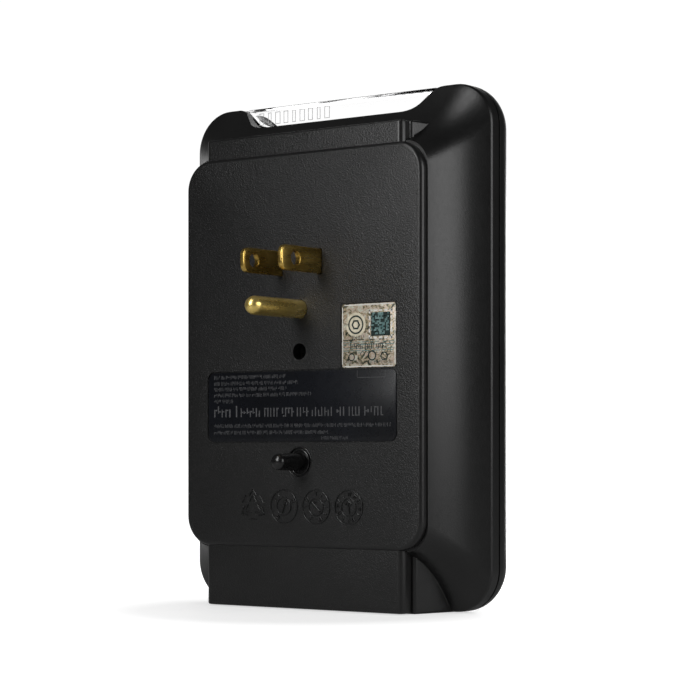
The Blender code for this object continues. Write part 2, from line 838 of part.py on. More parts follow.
def make_blade(name, parts, tools, x, length, hole_y, look):
    """One flat plug blade with a hole near its tip."""
    blade = outline_solid(
        name, parts, blade_points(length), BLADE_THICK / 2, -BLADE_THICK / 2
    )
    blade.matrix_world = Matrix.Translation((x, 0, 0)) @ Matrix.Rotation(
        math.pi / 2, 4, "Z"
    ) @ blade.matrix_world
    hole = rod(name + "_hole", tools, 0, 0, BLADE_HOLE / 2, BLADE_THICK, -BLADE_THICK)
    hole.rotation_euler = (0, 0, math.pi / 2)
    hole.location = (x, hole_y, 0)
    combine(blade, [hole], "DIFFERENCE")
    round_edges(blade, BLADE_EDGE, 1)
    return finish(blade, look)


def turned(name, where, profile, steps, look):
    """A solid turned about the Y axis from (y, radius) points, rear end first."""
    mesh = bpy.data.meshes.new(name)
    points = [(radius, 0.0, y) for y, radius in profile]
    edges = [(i, i + 1) for i in range(len(points) - 1)]
    mesh.from_pydata(points, edges, [])
    item = place(name, mesh, where)
    spin = item.modifiers.new("Turn", "SCREW")
    spin.axis = "Z"
    spin.steps = steps
    spin.render_steps = steps
    spin.use_merge_vertices = True
    spin.merge_threshold = 0.00001
    spin.use_smooth_shade = True
    item.rotation_euler = (-math.pi / 2, 0.0, 0.0)
    item.data.materials.append(look)
    return item


def make_ground_pin(parts, look):
    """The round ground pin with its domed tip."""
    profile = []
    for i in range(PIN_DOME_STEPS + 1):
        angle = math.pi / 2 * i / PIN_DOME_STEPS
        y = PIN_LENGTH - PIN_RADIUS * PIN_DOME_STRETCH * (1 - math.cos(angle))
        profile.append((y, PIN_RADIUS * math.sin(angle)))
    profile.append((BLADE_INNER_Y, PIN_RADIUS))
    profile.append((BLADE_INNER_Y, 0.0))
    pin = turned("ground_pin", parts, profile, 28, look)
    pin.location = (0, 0, PIN_Z)
    return pin


def make_alignment_peg(parts, look):
    """The tapered peg with a flat collar that sits in the ring on the plate."""
    profile = []
    for i in range(PEG_DOME_STEPS + 1):
        angle = math.pi / 2 * i / PEG_DOME_STEPS
        y = PEG_LENGTH - PEG_DOME * (1 - math.cos(angle))
        profile.append((y, PEG_TIP_RADIUS * math.sin(angle)))
    profile.append((PEG_COLLAR_REAR_Y, PEG_RADIUS))
    profile.append((PEG_COLLAR_REAR_Y, PEG_COLLAR_RADIUS))
    profile.append((PEG_COLLAR_FRONT_Y, PEG_COLLAR_RADIUS))
    profile.append((PEG_COLLAR_FRONT_Y, PEG_RADIUS))
    profile.append((PEG_INNER_Y, PEG_RADIUS))
    profile.append((PEG_INNER_Y, 0.0))
    peg = turned("alignment_peg", parts, profile, 20, look)
    peg.location = (0, 0, PEG_Z)
    return peg


def make_label(parts, look):
    """The thin rating label, blank."""
    points = rounded_rectangle(LABEL_HALF_WIDTH, LABEL_BOTTOM, LABEL_TOP, LABEL_RADIUS, 4)
    rear = -LABEL_RECESS + LIFT + LABEL_THICK
    label = outline_solid("rating_label", parts, points, rear, rear - LABEL_THICK)
    return finish(label, look)


def make_sticker(parts, look):
    """The thin square security sticker, blank."""
    rear = -STICKER_RECESS + LIFT + STICKER_THICK
    sticker = block(
        "security_sticker",
        parts,
        (STICKER_RIGHT, rear - STICKER_THICK, STICKER_BOTTOM),
        (STICKER_LEFT, rear, STICKER_TOP),
    )
    return finish(sticker, look)


def make_blade_carrier(parts, tools, look):
    """The insulating block that holds the plug's blades and pin."""
    carrier = block(
        "blade_carrier",
        parts,
        (-CARRIER_HALF_WIDTH, CARRIER_FRONT_Y, CARRIER_BOTTOM),
        (CARRIER_HALF_WIDTH, CARRIER_REAR_Y, CARRIER_TOP),
    )
    cuts = [
        blade_slot("carrier_line_slot", tools, BLADE_PITCH / 2),
        blade_slot("carrier_neutral_slot", tools, -BLADE_PITCH / 2),
        rear_hole("carrier_pin_hole", tools, 0, PIN_Z, PIN_RADIUS + GAP),
    ]
    for side in (-1, 1):
        cuts.append(
            rear_hole(
                "carrier_screw_hole_" + str(side + 2),
                tools,
                side * CARRIER_SCREW_X,
                CARRIER_SCREW_Z,
                CARRIER_SCREW_RADIUS + GAP,
                CARRIER_SCREW_STEPS,
            )
        )
    round_edges(carrier, CARRIER_EDGE, 1)
    combine(carrier, cuts, "DIFFERENCE")
    return finish(carrier, look)


def make_carrier_screw(number, side, parts, look):
    """A pan-head screw that holds the blade carrier."""
    head_y = CARRIER_FRONT_Y - GAP
    profile = [
        (head_y + CARRIER_SCREW_LENGTH, 0.0),
        (head_y + CARRIER_SCREW_LENGTH - CARRIER_SCREW_TIP, CARRIER_SCREW_RADIUS),
        (head_y, CARRIER_SCREW_RADIUS),
        (head_y, SCREW_HEAD_RADIUS),
        (head_y - SCREW_HEAD_HEIGHT * 0.5, SCREW_HEAD_RADIUS),
        (head_y - SCREW_HEAD_HEIGHT, SCREW_HEAD_RADIUS * 0.6),
        (head_y - SCREW_HEAD_HEIGHT, 0.0),
    ]
    screw = turned("carrier_screw_" + str(number), parts, profile, 14, look)
    screw.location = (side * CARRIER_SCREW_X, 0, CARRIER_SCREW_Z)
    return screw


def make_screw_sleeve(parts, tools, look):
    """The tube that carries the centre screw through the case."""
    rear = CAVITY_REAR_Y - GAP
    front = FRONT_Y + FRONT_WALL + GAP
    outer = SCREW_RADIUS + SLEEVE_WALL
    sleeve = rod("screw_sleeve", parts, 0, SCREW_Z, outer, rear, front, SLEEVE_STEPS)
    bore = rod(
        "sleeve_bore",
        tools,
        0,
        SCREW_Z,
        SCREW_RADIUS,
        rear + SLEEVE_OVERRUN,
        front - SLEEVE_OVERRUN,
        SLEEVE_STEPS,
    )
    combine(sleeve, [bore], "DIFFERENCE")
    return finish(sleeve, look)


def bus_boxes(y, offset, opening, jaw_height, drop, link_z):
    """Boxes of one bus: a strip per column, a link between them and six jaw pairs."""
    boxes = []
    jaw_half = jaw_height / 2 - JAW_INSET
    top = OUTLET_ROWS[0] + drop + jaw_height / 2
    bottom = OUTLET_ROWS[-1] + drop - jaw_height / 2
    for x in (-OUTLET_X, OUTLET_X):
        centre = x + offset
        boxes.append(
            (
                (centre - BUS_HALF_WIDTH, y - BUS_THICK, bottom),
                (centre + BUS_HALF_WIDTH, y, top),
            )
        )
        for row in OUTLET_ROWS:
            for side in (-1, 1):
                near = centre + side * opening
                far = near + side * JAW_THICK
                boxes.append(
                    (
                        (min(near, far), JAW_END_Y, row + drop - jaw_half),
                        (max(near, far), y - BUS_THICK / 2, row + drop + jaw_half),
                    )
                )
    boxes.append(
        (
            (-OUTLET_X + offset, y - BUS_THICK + LINK_THINNING, link_z - LINK_HALF_HEIGHT),
            (OUTLET_X + offset, y - LINK_THINNING, link_z + LINK_HALF_HEIGHT),
        )
    )
    return boxes


def make_bus(name, parts, tools, boxes, look):
    """One bus bar, its boxes joined into a single body."""
    bar = block(name, parts, *boxes[0])
    joins = []
    for i, (low, high) in enumerate(boxes[1:]):
        joins.append(block(name + "_piece_" + str(i + 1), tools, low, high))
    combine(bar, joins, "UNION")
    return finish(bar, look)


def make_shutter(number, x, z, parts, tools, look):
    """A sliding plate that covers both blade slots until it is pushed aside."""
    rear = FRONT_Y + FRONT_WALL + GAP + SHUTTER_THICK
    plate = block(
        "shutter_" + str(number),
        parts,
        (x - SHUTTER_HALF_WIDTH, rear - SHUTTER_THICK, z - SHUTTER_HALF_HEIGHT),
        (x + SHUTTER_HALF_WIDTH, rear, z + SHUTTER_HALF_HEIGHT),
    )
    cuts = []
    window_half = SHUTTER_HALF_HEIGHT - SHUTTER_BAR
    for i, offset in enumerate((-BLADE_PITCH / 2, BLADE_PITCH / 2)):
        middle = x + offset + SHUTTER_TRAVEL
        cuts.append(
            block(
                "shutter_window_" + str(number) + "_" + str(i),
                tools,
                (middle - SHUTTER_WINDOW / 2, rear - SHUTTER_THICK - CUT_MARGIN, z - window_half),
                (middle + SHUTTER_WINDOW / 2, rear + CUT_MARGIN, z + window_half),
            )
        )
    combine(plate, cuts, "DIFFERENCE")
    return finish(plate, look)


def make_shutter_spring(number, x, z, parts, look):
    """A bowed leaf between the case and the shutter's closing end."""
    rear = FRONT_Y + FRONT_WALL + GAP + SHUTTER_THICK
    start = x - SHUTTER_HALF_WIDTH - GAP
    bow = []
    for i in range(SPRING_STEPS + 1):
        t = -1 + 2 * i / SPRING_STEPS
        bow.append((start - SPRING_REACH * t * t, z + SPRING_HALF_HEIGHT * t))
    outline = [(px - SPRING_THICK, pz) for px, pz in bow]
    outline += [(px, pz) for px, pz in reversed(bow)]
    leaf = outline_solid(
        "shutter_spring_" + str(number),
        parts,
        outline,
        rear - SPRING_INSET,
        rear - SPRING_WIDTH,
    )
    return finish(leaf, look)


def make_circuit_board(parts, look):
    """The board that carries the protection parts."""
    board = block(
        "circuit_board",
        parts,
        (-BOARD_HALF_WIDTH, BOARD_REAR_Y - BOARD_THICK, BOARD_BOTTOM),
        (BOARD_HALF_WIDTH, BOARD_REAR_Y, BOARD_TOP),
    )
    return finish(board, look)


def board_front():
    """The Y of the face that parts stand on, with a small gap."""
    return BOARD_REAR_Y - BOARD_THICK - GAP


def make_varistor(number, x, parts, look):
    """A coated varistor disc lying on the board."""
    rear = board_front()
    disc = rod(
        "varistor_" + str(number),
        parts,
        x,
        VARISTOR_Z,
        VARISTOR_RADIUS,
        rear,
        rear - VARISTOR_THICK,
        24,
    )
    round_edges(disc, VARISTOR_EDGE, 2)
    return finish(disc, look, True)


def board_box(name, parts, x_range, height, z_range, edge, steps, look):
    """A box-shaped part that stands on the board, with rounded edges."""
    rear = board_front()
    low = (x_range[0], rear - height, z_range[0])
    high = (x_range[1], rear, z_range[1])
    box = block(name, parts, low, high)
    round_edges(box, edge, steps)
    return finish(box, look)


def make_resistor(number, x, parts, look):
    """A small resistor lying along X on the board."""
    half = RESISTOR_HALF_LENGTH
    name = "resistor_" + str(number)
    body = rod(name, parts, 0, 0, RESISTOR_RADIUS, half, -half, 12)
    round_edges(body, RESISTOR_EDGE, 1)
    body.rotation_euler = (0, 0, math.pi / 2)
    body.location = (x, board_front() - RESISTOR_LIFT, RESISTOR_Z)
    return finish(body, look, True)


def make_lamp(number, x, parts, look):
    """A status LED that points up into the lens stem."""
    profile = []
    for i in range(LED_DOME_STEPS + 1):
        angle = math.pi / 2 * i / LED_DOME_STEPS
        profile.append((LED_RADIUS * math.cos(angle), LED_RADIUS * math.sin(angle)))
    profile.append((LED_BASE_TOP, LED_RADIUS))
    profile.append((LED_BASE_TOP, LED_RADIUS * LED_BASE_FLARE))
    profile.append((LED_BASE_BOTTOM, LED_RADIUS * LED_BASE_FLARE))
    profile.append((LED_BASE_BOTTOM, 0.0))
    lamp = turned("status_led_" + str(number), parts, profile, 14, look)
    lamp.rotation_euler = (0, 0, 0)
    lamp.location = (x, LED_Y, LED_TOP - LED_RADIUS)
    return lamp


def make_wire(name, parts, points, radius, look):
    """An insulated lead that bends through these points."""
    curve = bpy.data.curves.new(name, "CURVE")
    curve.dimensions = "3D"
    curve.bevel_depth = radius
    curve.bevel_resolution = 2
    curve.use_fill_caps = True
    line = curve.splines.new("POLY")
    line.points.add(len(points) - 1)
    for point, where in zip(line.points, points):
        point.co = (*where, 1.0)
    wire = place(name, curve, parts)
    curve.materials.append(look)
    return wire


def smooth_path(points, steps=4):
    """Points along a soft curve through these ones."""
    ends = [points[0]] + list(points) + [points[-1]]
    found = []
    for i in range(1, len(ends) - 2):
        a, b, c, d = (Vector(p) for p in ends[i - 1 : i + 3])
        for j in range(steps):
            t = j / steps
            found.append(
                0.5
                * (
                    2 * b
                    + (c - a) * t
                    + (2 * a - 5 * b + 4 * c - d) * t * t
                    + (3 * b - a - 3 * c + d) * t**3
                )
            )
    found.append(Vector(points[-1]))
    return found


def make_leads(parts, looks):
    """Leads from the blade ends and the ground pin to the bus bars."""
    routes = {"line_lead": LINE_ROUTE, "ground_lead": GROUND_ROUTE}
    routes["neutral_lead"] = tuple((-x, y, z) for x, y, z in LINE_ROUTE)
    for name, route in routes.items():
        make_wire(name, parts, smooth_path(route), LEAD_RADIUS, looks[name])


def main():
    clear_scene()
    parts = new_collection("plug_in_surge_protector")
    tools = new_collection("cutters")
    shell = material("case_plastic", BODY_COLOR, 0.0, 0.45)
    brass = material("brass", (0.62, 0.46, 0.18, 1.0), 1.0, 0.3)
    steel = material("zinc_steel", (0.6, 0.6, 0.6, 1.0), 1.0, 0.35)
    looks = {
        "white": material("fuse_white", (0.75, 0.74, 0.7, 1.0), 0.0, 0.5),
        "capacitor": material("capacitor_yellow", (0.7, 0.5, 0.08, 1.0), 0.0, 0.4),
        "resistor": material("resistor_tan", (0.6, 0.45, 0.28, 1.0), 0.0, 0.4),
        "line_lead": material("lead_black", (0.02, 0.02, 0.02, 1.0), 0.0, 0.4),
        "neutral_lead": material("lead_white", (0.8, 0.8, 0.78, 1.0), 0.0, 0.4),
        "ground_lead": material("lead_green", (0.04, 0.3, 0.08, 1.0), 0.0, 0.4),
    }
    make_rear_cover(parts, tools, shell)
    make_front_cover(parts, tools, material("front_plastic", BODY_COLOR, 0.0, 0.4))
    lens_look = material("clear_plastic", (0.9, 0.92, 0.94, 1.0), 0.0, 0.05)
    make_status_lens(parts, tools, lens_look)
    half = BLADE_PITCH / 2
    make_blade("line_blade", parts, tools, half, LINE_BLADE_LENGTH, LINE_HOLE_Y, brass)
    make_blade("neutral_blade", parts, tools, -half, NEUTRAL_BLADE_LENGTH, NEUTRAL_HOLE_Y, brass)
    make_ground_pin(parts, brass)
    make_alignment_peg(parts, material("peg_plastic", BODY_COLOR, 0.0, 0.4))
    make_label(parts, material("label_film", (0.01, 0.01, 0.011, 1.0), 0.0, 0.15))
    make_sticker(parts, material("sticker_foil", (0.55, 0.5, 0.47, 1.0), 0.3, 0.3))
    carrier = material("carrier_plastic", (0.35, 0.34, 0.32, 1.0), 0.0, 0.5)
    make_blade_carrier(parts, tools, carrier)
    for number, side in ((1, -1), (2, 1)):
        make_carrier_screw(number, side, parts, steel)
    make_screw_sleeve(parts, tools, shell)
    bus = material("bus_brass", (0.6, 0.45, 0.2, 1.0), 1.0, 0.35)
    line_boxes = bus_boxes(LINE_BUS_Y, half, JAW_OPEN, BLADE_JAW_HEIGHT, 0.0, LINE_LINK_Z)
    make_bus("line_bus", parts, tools, line_boxes, bus)
    neutral_boxes = bus_boxes(
        NEUTRAL_BUS_Y, -half, JAW_OPEN, BLADE_JAW_HEIGHT, 0.0, NEUTRAL_LINK_Z
    )
    make_bus("neutral_bus", parts, tools, neutral_boxes, bus)
    ground_boxes = bus_boxes(
        GROUND_BUS_Y, 0.0, GROUND_JAW_OPEN, GROUND_JAW_HEIGHT, PIN_Z, GROUND_LINK_Z
    )
    make_bus("ground_bus", parts, tools, ground_boxes, bus)
    shutter_look = material("shutter_plastic", (0.03, 0.03, 0.032, 1.0), 0.0, 0.4)
    for number, x, z in outlet_places():
        make_shutter(number, x, z, parts, tools, shutter_look)
        make_shutter_spring(number, x, z, parts, steel)
    make_circuit_board(parts, material("board_green", (0.03, 0.16, 0.07, 1.0), 0.0, 0.4))
    varistor_look = material("varistor_blue", (0.03, 0.1, 0.35, 1.0), 0.0, 0.35)
    for number, x in enumerate(VARISTOR_X):
        make_varistor(number + 1, x, parts, varistor_look)
    board_box(
        "thermal_fuse", parts, FUSE_X, FUSE_HEIGHT, FUSE_Z, FUSE_EDGE, 2, looks["white"]
    )
    board_box(
        "film_capacitor",
        parts,
        CAPACITOR_X,
        CAPACITOR_HEIGHT,
        CAPACITOR_Z,
        CAPACITOR_EDGE,
        1,
        looks["capacitor"],
    )
    for i, x in enumerate(RESISTOR_X):
        make_resistor(i + 1, x, parts, looks["resistor"])
    lamp_look = material("lamp_green", (0.1, 0.6, 0.2, 1.0), 0.0, 0.2)
    for number, x in ((1, -LED_X), (2, LED_X)):
        make_lamp(number, x, parts, lamp_look)
    make_leads(parts, looks)


main()
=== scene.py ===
"""Looks for the plug-in surge protector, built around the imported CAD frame."""

import math
import random

import bmesh
import bpy
from mathutils import Matrix, Vector


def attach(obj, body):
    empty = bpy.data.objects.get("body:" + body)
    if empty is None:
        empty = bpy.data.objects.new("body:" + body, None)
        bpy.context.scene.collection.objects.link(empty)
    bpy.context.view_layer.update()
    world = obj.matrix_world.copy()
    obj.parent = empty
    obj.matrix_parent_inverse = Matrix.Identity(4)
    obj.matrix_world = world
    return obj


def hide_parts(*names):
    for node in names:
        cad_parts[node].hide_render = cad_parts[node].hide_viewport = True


MM = 0.001
GAP = 0.3 * MM
BODY = "case"

# Case shape, in metres, as in the CAD
RIM_HALF = 47.7 * MM
RIM_TOP = 44.0 * MM
RIM_BOTTOM = -88.4 * MM
RIM_RADIUS = 10.8 * MM
PLATE_HALF = 38.0 * MM
PLATE_TOP = 28.4 * MM
PLATE_BOTTOM = -72.8 * MM
PLATE_RADIUS = 7.7 * MM
PLATE_EDGE = 1.2 * MM
PLATE_EDGE_STEPS = 6
LEDGE_Y = -2.2 * MM
LEDGE_WIDTH = 0.3 * MM
LEDGE_RADIUS = 6.8 * MM
MIN_CORNER = 0.8 * MM
RING_STEP = 0.01 * MM
RIM_REAR_Y = -17.1 * MM
RIM_EDGE = 1.1 * MM
RIM_EDGE_TURN = math.radians(57)
COVE_END_Y = RIM_REAR_Y + RIM_EDGE * math.sin(RIM_EDGE_TURN)
COVE_END_INSET = RIM_EDGE * (1 - math.cos(RIM_EDGE_TURN))
SEAM_Y = -20.0 * MM
SEAM_GAP = 0.3 * MM
SEAM_EDGE = 0.25 * MM
COVE_LINEAR = 0.45
COVE_POWER = 2.6
COVE_STEPS = 26
RIM_STEPS = 6
CORNER_STEPS = 14
WALL = 2.2 * MM
REAR_WALL = 2.6 * MM
CAVITY_REAR_Y = -REAR_WALL - 0.2 * MM
CAVITY_STEPS = 7
LAP = 1.0 * MM
CUT_MARGIN = 2.0 * MM
REAR_CUT_END_Y = -20.0 * MM
BLOCK_HALF = 31.7 * MM
BLOCK_REAR_Y = -0.6 * MM
BLOCK_SIDE_EDGE = 1.6 * MM
BLOCK_SIDE_STEPS = 8
BLOCK_EDGE = 0.5 * MM
BLOCK_BASE_EDGE = 0.7 * MM
BLOCK_SINK = 6.0 * MM
POCKET_DEPTH = 0.4 * MM
POCKET_REACH = 8.0 * MM
BLOCK_TOP = 33.9 * MM
BLOCK_DRAFT = 0.24
BLOCK_FILLET = 0.5 * MM
FILLET_LEAST = 0.3 * MM
FILLET_STEPS = 28
FILLET_ARC_STEPS = 6
FILLET_PROBE = 0.02 * MM
FILLET_SINK = 0.5 * MM
FILLET_START = 0.9 * MM
FILLET_END = 0.3 * MM
FILLET_HEADROOM = 0.25 * MM
FLAT_RUN = PLATE_HALF + LEDGE_WIDTH - LEDGE_RADIUS + 2.0 * MM
TOP_LEDGE = (-3.6 * MM, 32.4 * MM)
BOTTOM_LEDGE = (-4.6 * MM, 32.8 * MM)
SLAB_INSET = 0.2 * MM
FOOT_Z = RIM_BOTTOM - 0.1 * MM
TOP_BLOCK_DEPTH = 11.5 * MM
FRONT_Y = -30.0 * MM
FRONT_STRAIGHT_Y = -20.35 * MM
FRONT_INSET = 10.0 * MM
FRONT_RADIUS = 5.5 * MM
FRONT_STEPS = 20
FRONT_CAVITY_STEPS = 8
FRONT_BORDER = 0.7 * MM
FRONT_LEAST_CORNER = 1.0 * MM
FRONT_EDGE = 0.25 * MM
FRONT_WALL = 2.4 * MM
NOTCH_BOTTOM = 37.9 * MM
NOTCH_BOTTOM_HALF = 26.1 * MM
NOTCH_TOP_HALF = 31.4 * MM
NOTCH_BLEND = 4.0 * MM
NOTCH_LIP = 1.6 * MM
NOTCH_STEPS = 12
NOTCH_RISE = 4.0 * MM
NOTCH_FRAME = 1.8 * MM
NOTCH_CUT_REAR_Y = -5.0 * MM
NOTCH_CUT_FRONT_Y = -40.0 * MM
LENS_REAR_Y = -17.2 * MM
LENS_TOP = 43.7 * MM
LENS_FIT = 0.35 * MM
LENS_STEM_BOTTOM = 32.0 * MM
LENS_STEM_HALF = 16.0 * MM
LENS_TURN = math.radians(52)
LENS_STEPS = 14
LENS_EDGE = 0.3 * MM
STEM_LAP = 1.5 * MM
STEM_REACH = 1.6 * MM
LAMP_Y = -19.8 * MM
BLADE_PITCH = 12.7 * MM
BLADE_THICK = 1.5 * MM
BLADE_HEIGHT = 6.35 * MM
LINE_BLADE = (15.2 * MM, 11.2 * MM)
NEUTRAL_BLADE = (16.0 * MM, 10.5 * MM)
BLADE_TIP_RADIUS = 2.1 * MM
BLADE_INNER_Y = -13.0 * MM
BLADE_HOLE_RADIUS = 1.7 * MM
BLADE_TIP_STEPS = 8
BLADE_EDGE = 0.36 * MM
BLADE_SLOT_END_Y = -12.0 * MM
PIN_RADIUS = 2.4 * MM
PIN_Z = -11.9 * MM
PIN_LENGTH = 20.6 * MM
PIN_DOME_STRETCH = 1.15
PIN_DOME_STEPS = 10
PIN_CHAMFER = 0.3 * MM
PLUG_CLEARANCE = 0.12 * MM
SCREW_Z = -22.7 * MM
SCREW_RADIUS = 2.1 * MM
FRONT_SCREW_RADIUS = 2.6 * MM
HOLE_STEPS = 48
PEG_Z = -50.8 * MM
PEG_RADIUS = 2.35 * MM
PEG_TIP_RADIUS = 2.05 * MM
PEG_LENGTH = 10.1 * MM
PEG_DOME = 1.6 * MM
PEG_DOME_STEPS = 8
PEG_INNER_Y = -6.0 * MM
PEG_COLLAR_RADIUS = 3.2 * MM
PEG_SEAT_RADIUS = 3.85 * MM
PEG_SEAT_DEPTH = 0.6 * MM
SEAT_LIP_RADIUS = 0.16 * MM
SEAT_LIP_RISE = 0.12 * MM
SEAT_LIP_Y = 0.02 * MM
LABEL_HALF = 30.3 * MM
LABEL_TOP = -27.6 * MM
LABEL_BOTTOM = -45.6 * MM
LABEL_RADIUS = 2.0 * MM
LABEL_RECESS = 0.35 * MM
LABEL_MARGIN = 0.3 * MM
STICKER_LEFT = -13.5 * MM
STICKER_RIGHT = -30.2 * MM
STICKER_TOP = -11.3 * MM
STICKER_BOTTOM = -27.2 * MM
STICKER_RECESS = 0.3 * MM
STICKER_MARGIN = 0.3 * MM
STICKER_RADIUS = 0.8 * MM
SEAL_X = -17.9 * MM
SEAL_Z = -16.5 * MM
FILM_THICK = 0.2 * MM
FILM_LIFT = 0.05 * MM
FILM_EDGE = 0.06 * MM
INK_LIFT = 0.001 * MM
STICKER_INK = 0.012 * MM
SECOND_INK_LIFT = 0.013 * MM
SEAL_RADIUS = 3.05 * MM
SEAL_INK = 0.02 * MM
CODE_CELL = 0.42 * MM
CODE_SIDE = 14
CODE_LEFT = -22.6 * MM
CODE_TOP = -13.6 * MM
CODE_GROUND = 0.015 * MM
CODE_LIFT = 0.016 * MM
DASH = 0.95 * MM
DASH_PITCH = 1.45
DASH_WIDE = 0.42 * MM
DASH_GAP = 0.25 * MM
BORDER = (0.15 * MM, 0.4 * MM)
LINE_START = 0.5 * MM
LINE_END = 0.4 * MM
OUTLET_X = 19.8 * MM
OUTLET_ROWS = (12.0 * MM, -24.0 * MM, -60.0 * MM)
OUTLET_RADIUS = 16.2 * MM
OUTLET_HALF_HEIGHT = 14.0 * MM
OUTLET_DROP = 3.5 * MM
OUTLET_RECESS = 0.8 * MM
OUTLET_STEPS = 24
SLOT_WIDTH = 2.3 * MM
NEUTRAL_SLOT = 8.2 * MM
LINE_SLOT = 6.8 * MM
GROUND_HOLE = 2.8 * MM
SLOT_REACH = 5.0 * MM
DIAL_Z = -62.2 * MM
DIAL_LIFT = 0.26 * MM
DIAL_SUNK = -0.05 * MM
DIAL_EDGE = 0.05 * MM
POINTER_LIFT = 0.1 * MM
BARB_LIFT = 0.06 * MM
BAR_MARK_X = 26.2 * MM
BAR_MARK_PITCH = 2.75 * MM
BAR_MARK_Z = 40.9 * MM
BAR_MARK_TALL = 2.9 * MM
BAR_MARK_LINE = 0.16 * MM
BAR_MARK_LIFT = 0.01 * MM
BAR_MARK_RISE = 0.05 * MM
# Gap at each end of the grey strip that paints shade on the clear bar's top edge
EDGE_SHADE_END = 0.6 * MM

# Printed rows in millimetres: start, end, top and height, then a random seed
LABEL_ROWS = (
    (28.4, 4.6, -28.35, 0.95, 3),
    (28.4, 0.6, -29.95, 0.95, 4),
    (28.4, 4.2, -31.45, 0.95, 5),
    (28.4, -3.9, -33.0, 0.95, 6),
    (28.4, 22.0, -34.6, 0.95, 7),
    (28.4, 20.6, -36.3, 2.9, 8),
    (19.4, -26.6, -36.9, 2.3, 9),
    (28.4, -28.4, -41.0, 0.95, 10),
    (28.4, -9.0, -42.75, 0.95, 11),
    (-7.0, -15.5, -44.3, 0.8, 12),
)
STICKER_ROWS = (
    (-16.4, -20.4, -19.2, 1.0, 5),
    (-16.2, -27.6, -21.3, 1.35, 9),
    (-14.2, -20.0, -25.4, 0.9, 12),
    (-21.6, -29.2, -25.4, 0.9, 14),
    (-14.4, -16.0, -16.0, 0.7, 15),
)
LABEL_BRACKET = (-26.9 * MM, -29.7 * MM, -18.3 * MM, -27.9 * MM)
LABEL_BRACKET_LINE = 0.1 * MM
LABEL_INK = 0.02 * MM

# Broken lines as (z, width), and swirls as (x, z, radius), in millimetres
TEAL_ROWS = ((-20.9, 0.16), (-21.6, 0.22), (-22.5, 0.16), (-23.1, 0.2))
SMEAR_ROWS = ((-20.4, 0.2), (-21.25, 0.14), (-22.15, 0.14), (-23.6, 0.12))
SWIRLS = ((-16.6, -24.6, 1.0), (-22.9, -24.3, 1.3), (-26.6, -24.5, 1.1), (-20.0, -23.9, 0.7))

# Stage and light
WHITE = (1.0, 1.0, 1.0, 1.0)
# Floor glow near the object, dimmed as painted shade round its foot, and the full white it rises
# to over these distances
STAGE_SHADED_GLOW = 0.52
STAGE_WHITE = 1.05
STAGE_REACH = (0.04, 0.08)
FLOOR_DROP = 0.02 * MM
BACKDROP_WAY = (0.598, -0.801, 0.0)
CAMERA_PLACE = (-0.34257, 0.43749, -0.04888)
CAMERA_YAW = math.radians(180.0 + 36.73)
CAMERA_LENS = 112.17
CAMERA_SHIFT = 0.1491
LIGHT_TARGET = (0.0, -0.01, -0.02)

# Lights: name, where it hangs, width, height, watts
LIGHTS = (
    ("key", (-0.46, -0.04, 0.1), 0.36, 0.28, 0.95),
    ("front", (0.02, 0.25, 0.09), 0.1, 0.16, 0.42),
    ("top", (0.04, 0.28, 0.38), 0.16, 0.16, 0.4),
    ("outlet_side", (0.2, -0.5, -0.04), 0.3, 0.25, 1.2),
)

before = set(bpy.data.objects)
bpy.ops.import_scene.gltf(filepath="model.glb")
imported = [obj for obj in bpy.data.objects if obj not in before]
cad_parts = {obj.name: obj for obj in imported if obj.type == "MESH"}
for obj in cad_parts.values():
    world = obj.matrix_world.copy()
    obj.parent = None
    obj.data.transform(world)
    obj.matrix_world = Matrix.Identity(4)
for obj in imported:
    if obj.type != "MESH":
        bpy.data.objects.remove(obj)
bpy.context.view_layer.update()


# Materials


